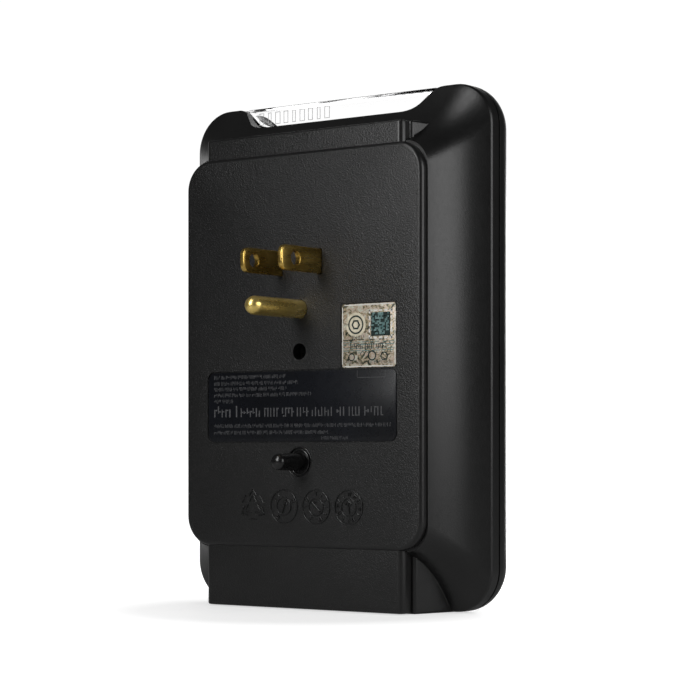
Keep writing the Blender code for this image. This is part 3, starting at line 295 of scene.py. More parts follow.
class Graph:
    """A material's or world's node tree, with short calls for the nodes used here."""

    def __init__(self, name, kind=bpy.data.materials, coordinate="Object"):
        self.owner = kind.new(name)
        self.owner.use_nodes = True
        self.tree = self.owner.node_tree
        self.shader = self.tree.nodes.get("Principled BSDF")
        self.coordinate = coordinate
        self.point = None

    def node(self, kind, **values):
        made = self.tree.nodes.new(kind)
        for key, value in values.items():
            setattr(made, key, value)
        return made

    def link(self, source, target):
        self.tree.links.new(source, target)

    def place(self):
        """Texture coordinates, shared by every node that needs them."""
        if self.point is None:
            self.point = self.node("ShaderNodeTexCoord").outputs[self.coordinate]
        return self.point

    def stretched(self, scale):
        mapping = self.node("ShaderNodeMapping")
        mapping.inputs["Scale"].default_value = scale
        self.link(self.place(), mapping.inputs["Vector"])
        return mapping.outputs["Vector"]

    def noise(self, scale, detail=2.0, roughness=0.5, vector=None, distortion=0.0):
        made = self.node("ShaderNodeTexNoise")
        made.inputs["Scale"].default_value = scale
        made.inputs["Detail"].default_value = detail
        made.inputs["Roughness"].default_value = roughness
        made.inputs["Distortion"].default_value = distortion
        self.link(vector or self.place(), made.inputs["Vector"])
        return made.outputs["Fac"]

    def cells(self, scale):
        made = self.node("ShaderNodeTexVoronoi", feature="SMOOTH_F1")
        made.inputs["Scale"].default_value = scale
        self.link(self.place(), made.inputs["Vector"])
        return made.outputs["Distance"]

    def ramp(self, source, stops):
        """Colours by position, each stop given as (position, red-green-blue)."""
        made = self.node("ShaderNodeValToRGB")
        ramp = made.color_ramp
        ramp.elements[0].position = stops[0][0]
        ramp.elements[0].color = (*stops[0][1], 1.0)
        ramp.elements[1].position = stops[-1][0]
        ramp.elements[1].color = (*stops[-1][1], 1.0)
        for position, color in stops[1:-1]:
            ramp.elements.new(position).color = (*color, 1.0)
        self.link(source, made.inputs["Fac"])
        return made.outputs["Color"]

    def mapped(self, source, low, high, to_low, to_high, easing="LINEAR"):
        made = self.node("ShaderNodeMapRange", interpolation_type=easing)
        keys = ("From Min", "From Max", "To Min", "To Max")
        for key, value in zip(keys, (low, high, to_low, to_high)):
            made.inputs[key].default_value = value
        self.link(source, made.inputs["Value"])
        return made.outputs["Result"]

    def math(self, operation, a, b):
        made = self.node("ShaderNodeMath", operation=operation)
        self.link(a, made.inputs[0])
        self.link(b, made.inputs[1])
        return made.outputs[0]

    def seen_directly(self):
        """1 for camera rays and for rays that passed through the clear bar, else 0."""
        ray = self.node("ShaderNodeLightPath")
        return self.math(
            "MAXIMUM", ray.outputs["Is Camera Ray"], ray.outputs["Is Transmission Ray"]
        )

    def bump(self, height, strength, distance):
        made = self.node("ShaderNodeBump")
        made.inputs["Strength"].default_value = strength
        made.inputs["Distance"].default_value = distance
        self.link(height, made.inputs["Height"])
        self.link(made.outputs["Normal"], self.shader.inputs["Normal"])

    def set(self, **values):
        for key, value in values.items():
            name = key.replace("_", " ")
            if isinstance(value, (int, float, tuple)):
                self.shader.inputs[name].default_value = value
            else:
                self.link(value, self.shader.inputs[name])


def grey(level):
    return (level, level, level)


BLACK = (grey(0.004), grey(0.006))


def plastic(name, dark, light, rough, grain, grain_scale, depth):
    """Moulded plastic: slight colour drift, uneven sheen and a surface grain."""
    g = Graph(name)
    drift = g.noise(90.0, 3.0)
    g.set(Base_Color=g.ramp(drift, [(0.3, dark), (0.7, light)]))
    smear = g.noise(900.0, 4.0)
    g.set(Roughness=g.mapped(smear, 0.3, 0.7, rough - 0.025, rough + 0.025))
    wrinkles = g.cells(grain_scale)
    pores = g.noise(grain_scale * 1.3, 3.0, 0.6, distortion=0.6)
    g.bump(g.math("ADD", wrinkles, pores), grain, depth)
    return g.owner


def metal(name, colors, rough):
    """Drawn or stamped metal with fine streaks and a little tarnish."""
    g = Graph(name)
    patches = g.noise(260.0, 5.0, 0.65)
    g.set(Base_Color=g.ramp(patches, colors), Metallic=1.0)
    lines = g.noise(4.0, 4.0, 0.6, g.stretched((300.0, 60.0, 300.0)))
    g.set(Roughness=g.mapped(lines, 0.3, 0.7, rough - 0.07, rough + 0.1))
    g.bump(lines, 0.12, 0.00003)
    return g.owner


def coated(name, dark, light, rough, scale=400.0):
    """A painted, coated or printed surface with mottled colour."""
    g = Graph(name)
    mottle = g.noise(scale, 4.0, 0.6)
    g.set(Base_Color=g.ramp(mottle, [(0.3, dark), (0.7, light)]))
    g.set(Roughness=g.mapped(g.noise(scale * 2.0, 2.0), 0.3, 0.7, rough - 0.05, rough + 0.05))
    g.bump(g.noise(scale * 3.0, 2.0), 0.2, 0.00002)
    return g.owner


def grained_plastic():
    return plastic("grained_plastic", *BLACK, 0.38, 1.0, 3100.0, 0.00008)


def satin_plastic():
    return plastic("satin_plastic", *BLACK, 0.33, 0.6, 2600.0, 0.00002)


def brass(name, dark, light, metallic, rough):
    """Plug brass, with soft patches and faint drawing lines."""
    g = Graph(name)
    patches = g.noise(150.0, 4.0, 0.6)
    g.set(Base_Color=g.ramp(patches, [(0.35, dark), (0.65, light)]), Metallic=metallic)
    lines = g.noise(4.0, 3.0, 0.5, g.stretched((160.0, 30.0, 160.0)))
    g.set(Roughness=g.mapped(lines, 0.3, 0.7, rough - 0.04, rough + 0.05))
    g.bump(lines, 0.12, 0.00003)
    return g.owner


def clear_plastic():
    g = Graph("clear_plastic")
    haze = g.noise(180.0, 3.0)
    g.set(
        Base_Color=g.ramp(haze, [(0.3, grey(0.97)), (0.7, grey(1.0))]),
        Roughness=g.mapped(haze, 0.3, 0.7, 0.015, 0.04),
        Transmission_Weight=1.0,
        IOR=1.03,
        Coat_Weight=0.35,
        Coat_IOR=1.35,
        Coat_Roughness=0.03,
    )
    return g.owner


def label_film():
    g = Graph("label_film")
    sheen = g.noise(50.0, 2.0)
    tones = [(0.35, (0.004, 0.0045, 0.006)), (0.7, (0.006, 0.007, 0.01))]
    g.set(Base_Color=g.ramp(sheen, tones), IOR=1.33)
    g.set(Roughness=g.mapped(g.noise(400.0, 3.0), 0.3, 0.7, 0.26, 0.3))
    g.bump(g.noise(160.0, 1.0), 0.04, 0.00001)
    return g.owner


def sticker_foil():
    """Foil film: silvery ground with pink, tan and green mottling and fine wrinkles."""
    g = Graph("sticker_foil")
    mottle = g.noise(520.0, 8.0, 0.75, distortion=1.6)
    color = g.ramp(
        mottle,
        [
            (0.36, (0.01, 0.012, 0.008)),
            (0.43, (0.05, 0.055, 0.04)),
            (0.48, (0.38, 0.33, 0.19)),
            (0.53, (0.55, 0.4, 0.35)),
            (0.58, (0.5, 0.56, 0.45)),
            (0.66, (0.78, 0.74, 0.64)),
        ],
    )
    g.set(Base_Color=color, Metallic=0.25)
    g.set(Roughness=g.mapped(mottle, 0.3, 0.7, 0.42, 0.26))
    g.bump(g.noise(1500.0, 3.0), 0.3, 0.00004)
    return g.owner


# Mesh tools


shown = bpy.data.collections.new("visual")
bpy.context.scene.collection.children.link(shown)


def place(name, mesh):
    item = bpy.data.objects.new(name, mesh)
    shown.objects.link(item)
    return item


def mesh_from(name, geometry):
    bmesh.ops.recalc_face_normals(geometry, faces=geometry.faces)
    mesh = bpy.data.meshes.new(name)
    geometry.to_mesh(mesh)
    geometry.free()
    return mesh


def add_box(geometry, low, high):
    """A box between two corners, added to a bmesh; gives its vertices."""
    low = Vector(low)
    size = Vector(high) - low
    made = bmesh.ops.create_cube(geometry, size=1.0)["verts"]
    shape = Matrix.Translation(low + size / 2) @ Matrix.Diagonal((*size, 1.0))
    bmesh.ops.transform(geometry, matrix=shape, verts=made)
    return made


def block(name, low, high):
    geometry = bmesh.new()
    add_box(geometry, low, high)
    return place(name, mesh_from(name, geometry))


def row_of(geometry, points, y):
    """New vertices at depth y for an outline given in X and Z."""
    return [geometry.verts.new((x, y, z)) for x, z in points]


def skin(geometry, rows, looped=False):
    """Faces between neighbouring rings of vertices, with end caps unless looped."""
    for first, second in zip(rows, rows[1:] + rows[:1] if looped else rows[1:]):
        for i in range(len(first)):
            j = (i + 1) % len(first)
            geometry.faces.new((first[i], first[j], second[j], second[i]))
    if not looped:
        geometry.faces.new(rows[0])
        geometry.faces.new(list(reversed(rows[-1])))


def circle(x, z, radius, steps):
    turn = 2 * math.pi / steps
    return [
        (x + radius * math.cos(turn * i), z + radius * math.sin(turn * i))
        for i in range(steps)
    ]


def corner_arc(x, z, radius, start, steps):
    found = []
    for i in range(steps + 1):
        angle = start + math.pi / 2 * i / steps
        found.append((x + radius * math.cos(angle), z + radius * math.sin(angle)))
    return found


def rounded(half, bottom, top, radius, steps=CORNER_STEPS, x=0.0):
    """The outline of a rounded rectangle centred at x."""
    inner = half - radius
    points = corner_arc(x + inner, bottom + radius, radius, -math.pi / 2, steps)
    points += corner_arc(x + inner, top - radius, radius, 0.0, steps)
    points += corner_arc(x - inner, top - radius, radius, math.pi / 2, steps)
    points += corner_arc(x - inner, bottom + radius, radius, math.pi, steps)
    return points


def bed(half, bottom, top, radius, x=0.0):
    """A rounded rectangle with coarser corners, for the label, sticker and their beds."""
    return rounded(half, bottom, top, radius, 8, x)


def ring_loft(name, rings):
    """A closed skin through outlines of equal length, each given as (y, outline)."""
    geometry = bmesh.new()
    skin(geometry, [row_of(geometry, outline, y) for y, outline in rings])
    return place(name, mesh_from(name, geometry))


def prism(name, points, y_rear, y_front):
    """A flat outline in X and Z, given thickness along Y."""
    return ring_loft(name, [(y_rear, points), (y_front, points)])


def bevel(item, width, segments, angle):
    change = item.modifiers.new("Bevel", "BEVEL")
    change.width = width
    change.segments = segments
    change.limit_method = "ANGLE"
    change.angle_limit = math.radians(angle)
    change.miter_outer = "MITER_ARC"
    return item


def applied(item):
    """Bake an object's modifiers into its mesh."""
    bpy.context.view_layer.update()
    graph = bpy.context.evaluated_depsgraph_get()
    mesh = bpy.data.meshes.new_from_object(item.evaluated_get(graph))
    item.modifiers.clear()
    item.data = mesh
    return item


def combine(target, others, operation):
    """Join the others to the target, or cut them from it, and drop them."""
    for i, other in enumerate(others):
        change = target.modifiers.new("Part" + str(i), "BOOLEAN")
        change.operation = operation
        change.solver = "EXACT"
        change.object = other
    applied(target)
    for other in others:
        bpy.data.objects.remove(other, do_unlink=True)
    return target


def smooth(item, angle):
    item.data.shade_smooth()
    item.data.set_sharp_from_angle(angle=math.radians(angle))
    return item


def even_normals(item):
    """Weight the vertex normals by face area, so that flat faces shade flat."""
    change = item.modifiers.new("Normals", "WEIGHTED_NORMAL")
    change.keep_sharp = True
    return applied(item)


def eased(item, width, segments, shade):
    """Round an object's sharp edges, then shade it smooth."""
    bevel(item, width, segments, 50)
    return smooth(applied(item), shade)


def dress(item, *chosen):
    for look in chosen:
        item.data.materials.append(look)
    return item


def ring_of_profile(name, profile, centre, steps):
    """A solid turned about an axis along Y through centre, from (y, radius) points."""
    geometry = bmesh.new()
    rows = []
    for y, radius in profile:
        if radius < 1e-9:
            rows.append([geometry.verts.new((centre[0], y, centre[1]))])
            continue
        rows.append(row_of(geometry, circle(*centre, radius, steps), y))
    for first, second in zip(rows, rows[1:]):
        for i in range(steps):
            j = (i + 1) % steps
            corners = [first[i % len(first)], first[j % len(first)]]
            corners += [second[j % len(second)], second[i % len(second)]]
            unique = list(dict.fromkeys(corners))
            if len(unique) > 2:
                geometry.faces.new(unique)
    return place(name, mesh_from(name, geometry))


# Rear shell


def flank_outline(share, inset=0.0):
    """The case's outline between the ledge (share 0) and the rim (share 1)."""
    half = PLATE_HALF + LEDGE_WIDTH
    half += share * (RIM_HALF - half) - inset
    top = PLATE_TOP + LEDGE_WIDTH
    top += share * (RIM_TOP - top) - inset
    bottom = PLATE_BOTTOM - LEDGE_WIDTH
    bottom += share * (RIM_BOTTOM - bottom) + inset
    radius = LEDGE_RADIUS + share * (RIM_RADIUS - LEDGE_RADIUS) - inset
    return rounded(half, bottom, top, max(radius, MIN_CORNER))


def plate_outline(inset):
    return rounded(
        PLATE_HALF - inset, PLATE_BOTTOM + inset, PLATE_TOP - inset, PLATE_RADIUS - inset
    )


def cove_share(depth):
    """How far out the cove has come, from 0 to 1, at a depth from 0 to 1."""
    return COVE_LINEAR * depth + (1 - COVE_LINEAR) * depth**COVE_POWER


def rear_rings():
    """Outlines from the rear plate over the ledge and cove to the seam."""
    rings = []
    for i in range(PLATE_EDGE_STEPS + 1):
        angle = math.pi / 2 * i / PLATE_EDGE_STEPS
        y = -PLATE_EDGE * (1 - math.cos(angle))
        rings.append((y, plate_outline(PLATE_EDGE * (1 - math.sin(angle)))))
    rings.append((LEDGE_Y, plate_outline(0.0)))
    for i in range(COVE_STEPS + 1):
        depth = i / COVE_STEPS
        share = cove_share(depth)
        y = LEDGE_Y - RING_STEP + depth * (COVE_END_Y - LEDGE_Y)
        rings.append((y, flank_outline(share, share * COVE_END_INSET)))
    for i in range(1, RIM_STEPS + 1):
        angle = RIM_EDGE_TURN * (1 - i / RIM_STEPS)
        y = RIM_REAR_Y + RIM_EDGE * math.sin(angle)
        rings.append((y, flank_outline(1.0, RIM_EDGE * (1 - math.cos(angle)))))
    seam = SEAM_Y + SEAM_GAP / 2
    rings.append((seam + SEAM_EDGE, flank_outline(1.0)))
    rings.append((seam, flank_outline(1.0, SEAM_EDGE)))
    return rings


def cavity_rings():
    """Outlines of the hollow inside the rear cover, one wall inside the cove."""
    rings = []
    for i in range(CAVITY_STEPS + 1):
        depth = i / CAVITY_STEPS
        y = CAVITY_REAR_Y + depth * (COVE_END_Y - WALL / 2 - CAVITY_REAR_Y)
        rings.append((y, flank_outline(cove_share(depth), WALL)))
    rings.append((SEAM_Y - LAP, flank_outline(1.0, WALL)))
    return rings


def notch_points(clearance):
    """The notch's outline, with blended lower corners; clearance makes it larger."""
    slope = (NOTCH_TOP_HALF - NOTCH_BOTTOM_HALF) / (RIM_TOP - NOTCH_BOTTOM)
    side = []
    for i in range(NOTCH_STEPS + 1):
        t = i / NOTCH_STEPS
        lift = NOTCH_BLEND * 0.5 * t * t
        x = NOTCH_BOTTOM_HALF + clearance - NOTCH_BLEND * (1 - t) ** 2 + slope * lift
        side.append((x, NOTCH_BOTTOM - clearance + lift))
    start = RIM_TOP - NOTCH_LIP
    half = NOTCH_BOTTOM_HALF + clearance + slope * (start - NOTCH_BOTTOM)
    for i in range(NOTCH_STEPS + 1):
        t = i / NOTCH_STEPS
        flare = NOTCH_LIP * t * t
        side.append((half + slope * NOTCH_LIP * 2 * t + flare, start + NOTCH_LIP * 2 * t - flare))
    side.append((side[-1][0], RIM_TOP + NOTCH_RISE))
    return side + [(-x, z) for x, z in reversed(side)]


def notch_cut(name, clearance):
    """The notch as a solid that reaches past both covers."""
    return prism(name, notch_points(clearance), NOTCH_CUT_REAR_Y, NOTCH_CUT_FRONT_Y)


def block_half(y, ledge):
    """Half the width of a block's drafted base at depth y."""
    ledge_y, ledge_half = ledge
    return ledge_half + BLOCK_DRAFT * (ledge_y - y)


def rear_block(name, bottom, top, front_y, ledge):
    """A block's rear slab with rounded ends, and its wider, drafted base."""
    geometry = bmesh.new()
    add_box(
        geometry,
        (-BLOCK_HALF, ledge[0] - LAP, bottom + SLAB_INSET),
        (BLOCK_HALF, BLOCK_REAR_Y, top - SLAB_INSET),
    )
    ends = []
    for edge in geometry.edges:
        first, last = (vertex.co for vertex in edge.verts)
        at_rear = max(abs(first.y - BLOCK_REAR_Y), abs(last.y - BLOCK_REAR_Y)) < 1e-6
        if at_rear and abs(first.x - last.x) < 1e-6:
            ends.append(edge)
    size = {"offset": BLOCK_SIDE_EDGE, "segments": BLOCK_SIDE_STEPS, "profile": 0.5}
    bmesh.ops.bevel(geometry, geom=ends, affect="EDGES", **size)
    slab = place(name + "_slab", mesh_from(name + "_slab", geometry))
    bevel(slab, BLOCK_EDGE, 3, 50)
    base = block(name + "_base", (-ledge[1], front_y, bottom), (ledge[1], ledge[0], top))
    for corner in base.data.vertices:
        if corner.co.y < ledge[0] - MM:
            corner.co.x = math.copysign(block_half(front_y, ledge), corner.co.x)
    bevel(base, BLOCK_BASE_EDGE, 4, 40)
    return [slab, base]


def cove_height(y, upward):
    """The height of the cove's flat run, above or below the plate, at depth y."""
    depth = (LEDGE_Y - y) / (LEDGE_Y - COVE_END_Y)
    share = cove_share(min(max(depth, 0.0), 1.0))
    start = PLATE_TOP + LEDGE_WIDTH if upward else PLATE_BOTTOM - LEDGE_WIDTH
    end = RIM_TOP - COVE_END_INSET if upward else RIM_BOTTOM + COVE_END_INSET
    return start + share * (end - start)


def fillet_row(y, side, upward, ledge, limit_z):
    """One cross-section of a block's fillet at depth y."""
    step = FILLET_PROBE
    z = cove_height(y, upward)
    ahead_z = cove_height(y - step, upward)
    room = min(abs(limit_z - z) * 0.75, (FLAT_RUN - block_half(y, ledge)) * 0.8)
    radius = max(min(BLOCK_FILLET, room), FILLET_LEAST)
    corner = Vector((side * block_half(y, ledge), y, z))
    ahead = Vector((side * block_half(y - step, ledge), y - step, ahead_z))
    along = (ahead - corner).normalized()
    end_out = Vector((side, BLOCK_DRAFT, 0.0)).normalized()
    way = 1 if upward else -1
    cove_out = Vector((0.0, way * (ahead_z - z) / step, way)).normalized()
    up_end = along.cross(end_out).normalized()
    up_end *= math.copysign(1.0, up_end.dot(cove_out))
    over_cove = along.cross(cove_out).normalized()
    over_cove *= math.copysign(1.0, over_cove.dot(end_out))
    half = up_end.angle(over_cove) / 2
    reach = radius / math.tan(half)
    middle = (up_end + over_cove).normalized()
    centre = corner + middle * (radius / math.sin(half))
    first = corner + up_end * reach - end_out * step
    last = corner + over_cove * reach - cove_out * step
    rays = [(first - centre).normalized(), (last - centre).normalized()]
    row = [corner - middle * FILLET_SINK]
    for i in range(FILLET_ARC_STEPS + 1):
        row.append(centre + rays[0].slerp(rays[1], i / FILLET_ARC_STEPS) * radius)
    return row


def block_fillet(name, side, upward, ledge, limit_z):
    """The concave fillet where a block's end meets the cove, as a closed strip."""
    geometry = bmesh.new()
    rows = []
    start = ledge[0] - FILLET_START
    end = COVE_END_Y - FILLET_END
    for i in range(FILLET_STEPS + 1):
        y = start + (end - start) * i / FILLET_STEPS
        if (limit_z - cove_height(y, upward)) * (1 if upward else -1) < FILLET_HEADROOM:
            break
        row = fillet_row(y, side, upward, ledge, limit_z)
        rows.append([geometry.verts.new(point) for point in row])
    skin(geometry, rows)
    return place(name, mesh_from(name, geometry))


def blade_slot(name, x):
    half_x = BLADE_THICK / 2 + PLUG_CLEARANCE
    half_z = BLADE_HEIGHT / 2 + PLUG_CLEARANCE
    low = (x - half_x, BLADE_SLOT_END_Y, -half_z)
    return block(name, low, (x + half_x, CUT_MARGIN, half_z))


def make_rear_shell():
    """The rear cover: coved shell and two blocks, hollowed and cut for the other pieces."""
    shell = ring_loft("rear_shell", rear_rings())
    joins = rear_block(
        "top_block", PLATE_TOP - BLOCK_SINK, BLOCK_TOP, -TOP_BLOCK_DEPTH, TOP_LEDGE
    )
    joins += rear_block(
        "bottom_block", FOOT_Z, PLATE_BOTTOM + BLOCK_SINK, SEAM_Y + SEAM_GAP, BOTTOM_LEDGE
    )
    for side, tag in ((1, "_a"), (-1, "_b")):
        joins.append(block_fillet("top_fillet" + tag, side, True, TOP_LEDGE, BLOCK_TOP))
        joins.append(block_fillet("bottom_fillet" + tag, side, False, BOTTOM_LEDGE, FOOT_Z))
    combine(shell, joins, "UNION")
    cavity = ring_loft("cavity", cavity_rings())
    frame_points = notch_points(NOTCH_FRAME)
    notch_frame = prism("notch_frame", frame_points, NOTCH_CUT_REAR_Y, LENS_REAR_Y + GAP)
    combine(cavity, [notch_frame], "DIFFERENCE")
    pocket = BLOCK_HALF - WALL
    pocket_rear = TOP_LEDGE[0] - WALL + POCKET_DEPTH
    cuts = [
        cavity,
        block(
            "bottom_pocket",
            (-pocket, SEAM_Y - LAP, FOOT_Z + WALL + GAP),
            (pocket, pocket_rear, PLATE_BOTTOM + POCKET_REACH),
        ),
        block(
            "top_pocket",
            (-pocket, SEAM_Y - LAP, PLATE_TOP - POCKET_REACH),
            (pocket, pocket_rear, BLOCK_TOP - WALL),
        ),
        notch_cut("notch", 0.0),
        blade_slot("slot_a", BLADE_PITCH / 2),
        blade_slot("slot_b", -BLADE_PITCH / 2),
    ]
    for name, z, radius, end in (
        ("pin_hole", PIN_Z, PIN_RADIUS + PLUG_CLEARANCE, REAR_CUT_END_Y),
        ("screw_hole", SCREW_Z, SCREW_RADIUS, REAR_CUT_END_Y),
        ("peg_hole", PEG_Z, PEG_RADIUS + PLUG_CLEARANCE, REAR_CUT_END_Y),
        ("peg_seat", PEG_Z, PEG_SEAT_RADIUS, -PEG_SEAT_DEPTH),
    ):
        cuts.append(prism(name, circle(0.0, z, radius, HOLE_STEPS), CUT_MARGIN, end))
    label_bed = bed(
        LABEL_HALF + LABEL_MARGIN,
        LABEL_BOTTOM - LABEL_MARGIN,
        LABEL_TOP + LABEL_MARGIN,
        LABEL_RADIUS + LABEL_MARGIN,
    )
    cuts.append(prism("label_bed", label_bed, CUT_MARGIN, -LABEL_RECESS))
    low = (STICKER_RIGHT - STICKER_MARGIN, -STICKER_RECESS, STICKER_BOTTOM - STICKER_MARGIN)
    high = (STICKER_LEFT + STICKER_MARGIN, CUT_MARGIN, STICKER_TOP + STICKER_MARGIN)
    cuts.append(block("sticker_bed", low, high))
    combine(shell, cuts, "DIFFERENCE")
    dress(shell, satin_plastic(), grained_plastic())
    for face in shell.data.polygons:
        rear_facing = face.normal.y > 0.97 and face.center.y > -2.0 * MM
        face.material_index = 1 if rear_facing else 0
    smooth(shell, 28)
    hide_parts("rear_cover")
    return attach(shell, BODY)


# Front shell


def front_rings(inset, y_front, y_rear, steps):
    """Rings from a narrow border on the flat face, round the edge, to y_rear."""
    rings = []
    reach = y_front - FRONT_STRAIGHT_Y
    for i in range(-1, steps + 1):
        angle = math.pi / 2 * max(i, 0) / steps
        moved = FRONT_INSET * (1 - math.sin(angle)) + inset
        moved += FRONT_BORDER if i < 0 else 0.0
        radius = RIM_RADIUS - moved * (RIM_RADIUS - FRONT_RADIUS) / FRONT_INSET
        radius = max(radius, FRONT_LEAST_CORNER)
        outline = rounded(RIM_HALF - moved, RIM_BOTTOM + moved, RIM_TOP - moved, radius)
        rings.append((FRONT_STRAIGHT_Y + reach * math.cos(angle), outline))
    rings.append((y_rear, rings[-1][1]))
    return rings


def outlet_places():
    """Each outlet's number and the middle of its two blade slots."""
    found = []
    for z in OUTLET_ROWS:
        for x in (-OUTLET_X, OUTLET_X):
            found.append((len(found) + 1, x, z))
    return found


def outlet_outline(x, z):
    """A disc flattened above and below."""
    half = math.asin(OUTLET_HALF_HEIGHT / OUTLET_RADIUS)
    points = []
    for start in (-half, math.pi - half):
        for i in range(OUTLET_STEPS + 1):
            angle = start + 2 * half * i / OUTLET_STEPS
            px = x + OUTLET_RADIUS * math.cos(angle)
            points.append((px, z - OUTLET_DROP + OUTLET_RADIUS * math.sin(angle)))
    return points


def outlet_cuts(number, x, z):
    """One outlet's shallow face, two blade slots and ground hole."""
    tag = str(number)
    front = FRONT_Y - CUT_MARGIN
    inner = FRONT_Y + SLOT_REACH
    cuts = [prism("face" + tag, outlet_outline(x, z), FRONT_Y + OUTLET_RECESS, front)]
    for side, height in ((-1, NEUTRAL_SLOT), (1, LINE_SLOT)):
        left = x + side * BLADE_PITCH / 2 - SLOT_WIDTH / 2
        low = (left, front, z - height / 2)
        high = (left + SLOT_WIDTH, inner, z + height / 2)
        cuts.append(block("slot" + tag + str(side), low, high))
    cuts.append(prism("hole" + tag, circle(x, z + PIN_Z, GROUND_HOLE, 32), inner, front))
    return cuts


def make_front_shell():
    """The front cover with its outlets, notch and screw hole."""
    rings = front_rings(0.0, FRONT_Y, SEAM_Y - SEAM_GAP / 2, FRONT_STEPS)
    shell = ring_loft("front_shell", rings)
    cavity = front_rings(WALL, FRONT_Y + FRONT_WALL, SEAM_Y + CUT_MARGIN, FRONT_CAVITY_STEPS)
    screw = circle(0.0, SCREW_Z, FRONT_SCREW_RADIUS, 40)
    cuts = [
        ring_loft("front_cavity", cavity),
        notch_cut("front_notch", 0.0),
        prism("front_screw", screw, REAR_CUT_END_Y, NOTCH_CUT_FRONT_Y),
    ]
    for outlet in outlet_places():
        cuts += outlet_cuts(*outlet)
    combine(shell, cuts, "DIFFERENCE")
    even_normals(eased(shell, FRONT_EDGE, 2, 28))
    dress(shell, plastic("front_plastic", *BLACK, 0.34, 0.3, 2500.0, 0.00002))
    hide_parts("front_cover")
    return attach(shell, BODY)


# Clear bar


def make_clear_bar():
    """The clear bar in the notch, with a stem that reaches down to the lamps."""
    reach = FRONT_Y - FRONT_STRAIGHT_Y
    low_z = NOTCH_BOTTOM - LAP
    profile = [(LENS_REAR_Y, low_z), (LENS_REAR_Y, LENS_TOP)]
    for i in range(LENS_STEPS + 1):
        angle = math.pi / 2 - LENS_TURN * i / LENS_STEPS
        moved = FRONT_INSET * (1 - math.sin(angle)) + RIM_TOP - LENS_TOP
        profile.append((FRONT_STRAIGHT_Y + reach * math.cos(angle), RIM_TOP - moved))
    profile.append((profile[-1][0], low_z))
    geometry = bmesh.new()
    rows = []
    for side in (-1, 1):
        half = side * (NOTCH_TOP_HALF + NOTCH_RISE)
        rows.append([geometry.verts.new((half, y, z)) for y, z in profile])
    skin(geometry, rows)
    bar = place("clear_bar", mesh_from("clear_bar", geometry))
    combine(bar, [notch_cut("bar_ends", -LENS_FIT)], "INTERSECT")
    stem = block(
        "bar_stem",
        (-LENS_STEM_HALF, LAMP_Y - STEM_REACH, LENS_STEM_BOTTOM),
        (LENS_STEM_HALF, LENS_REAR_Y - LAP, NOTCH_BOTTOM + STEM_LAP),
    )
    combine(bar, [stem], "UNION")
    eased(bar, LENS_EDGE, 2, 28)
    dress(bar, clear_plastic())
    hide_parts("status_lens")
    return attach(bar, BODY)


# Plug


def make_blade(name, node, x, size):
    """A plug blade with rounded tip corners, eased edges and a tip hole."""
    length, hole_y = size
    radius = BLADE_TIP_RADIUS
    half = BLADE_HEIGHT / 2
    points = []
    for centre, start in ((half - radius, math.pi / 2), (radius - half, 0.0)):
        for i in range(BLADE_TIP_STEPS + 1):
            angle = start - math.pi / 2 * i / BLADE_TIP_STEPS
            y = length - radius + radius * math.cos(angle)
            points.append((y, centre + radius * math.sin(angle)))
    points += [(BLADE_INNER_Y, -half), (BLADE_INNER_Y, half)]
    blade = prism(name, points, BLADE_THICK / 2, -BLADE_THICK / 2)
    ring = circle(hole_y, 0.0, BLADE_HOLE_RADIUS, 40)
    hole = prism(name + "_hole", ring, CUT_MARGIN, -CUT_MARGIN)
    combine(blade, [hole], "DIFFERENCE")
    turn = Matrix.Rotation(math.pi / 2, 4, "Z")
    blade.data.transform(Matrix.Translation((x, 0, 0)) @ turn)
    eased(blade, BLADE_EDGE, 4, 35)
    dress(blade, looks["blade"])
    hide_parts(node)
    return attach(blade, BODY)


def make_pin():
    """The round ground pin with its domed tip."""
    profile = []
    for i in range(PIN_DOME_STEPS + 1):
        angle = math.pi / 2 * i / PIN_DOME_STEPS
        y = PIN_LENGTH - PIN_RADIUS * PIN_DOME_STRETCH * (1 - math.cos(angle))
        profile.append((y, PIN_RADIUS * math.sin(angle)))
    profile.append((BLADE_INNER_Y + PIN_CHAMFER, PIN_RADIUS))
    profile.append((BLADE_INNER_Y, PIN_RADIUS - PIN_CHAMFER))
    profile.append((BLADE_INNER_Y, 0.0))
    pin = ring_of_profile("ground_pin_turned", profile, (0.0, PIN_Z), 56)
    smooth(pin, 40)
    dress(pin, looks["pin"])
    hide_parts("ground_pin")
    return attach(pin, BODY)


def make_peg():
    """The tapered peg, with a groove and a rounded collar at its foot."""
    profile = [(PEG_LENGTH, 0.0)]
    for i in range(1, PEG_DOME_STEPS + 1):
        angle = math.pi / 2 * i / PEG_DOME_STEPS
        y = PEG_LENGTH - PEG_DOME * (1 - math.cos(angle))
        profile.append((y, PEG_TIP_RADIUS * math.sin(angle)))
    profile += [
        (0.25 * MM, PEG_RADIUS),
        (-0.25 * MM, PEG_RADIUS + 0.1 * MM),
        (-0.25 * MM, PEG_COLLAR_RADIUS - 0.35 * MM),
        (-0.02 * MM, PEG_COLLAR_RADIUS - 0.25 * MM),
        (0.04 * MM, PEG_COLLAR_RADIUS - 0.12 * MM),
        (-0.02 * MM, PEG_COLLAR_RADIUS),
        (-0.3 * MM, PEG_COLLAR_RADIUS),
        (-0.3 * MM, PEG_RADIUS),
        (PEG_INNER_Y, PEG_RADIUS),
        (PEG_INNER_Y, 0.0),
    ]
    peg = ring_of_profile("peg_turned", profile, (0.0, PEG_Z), 44)
    smooth(peg, 40)
    dress(peg, plastic("peg_plastic", *BLACK, 0.24, 0.15, 3000.0, 0.00001))
    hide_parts("alignment_peg")
    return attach(peg, BODY)


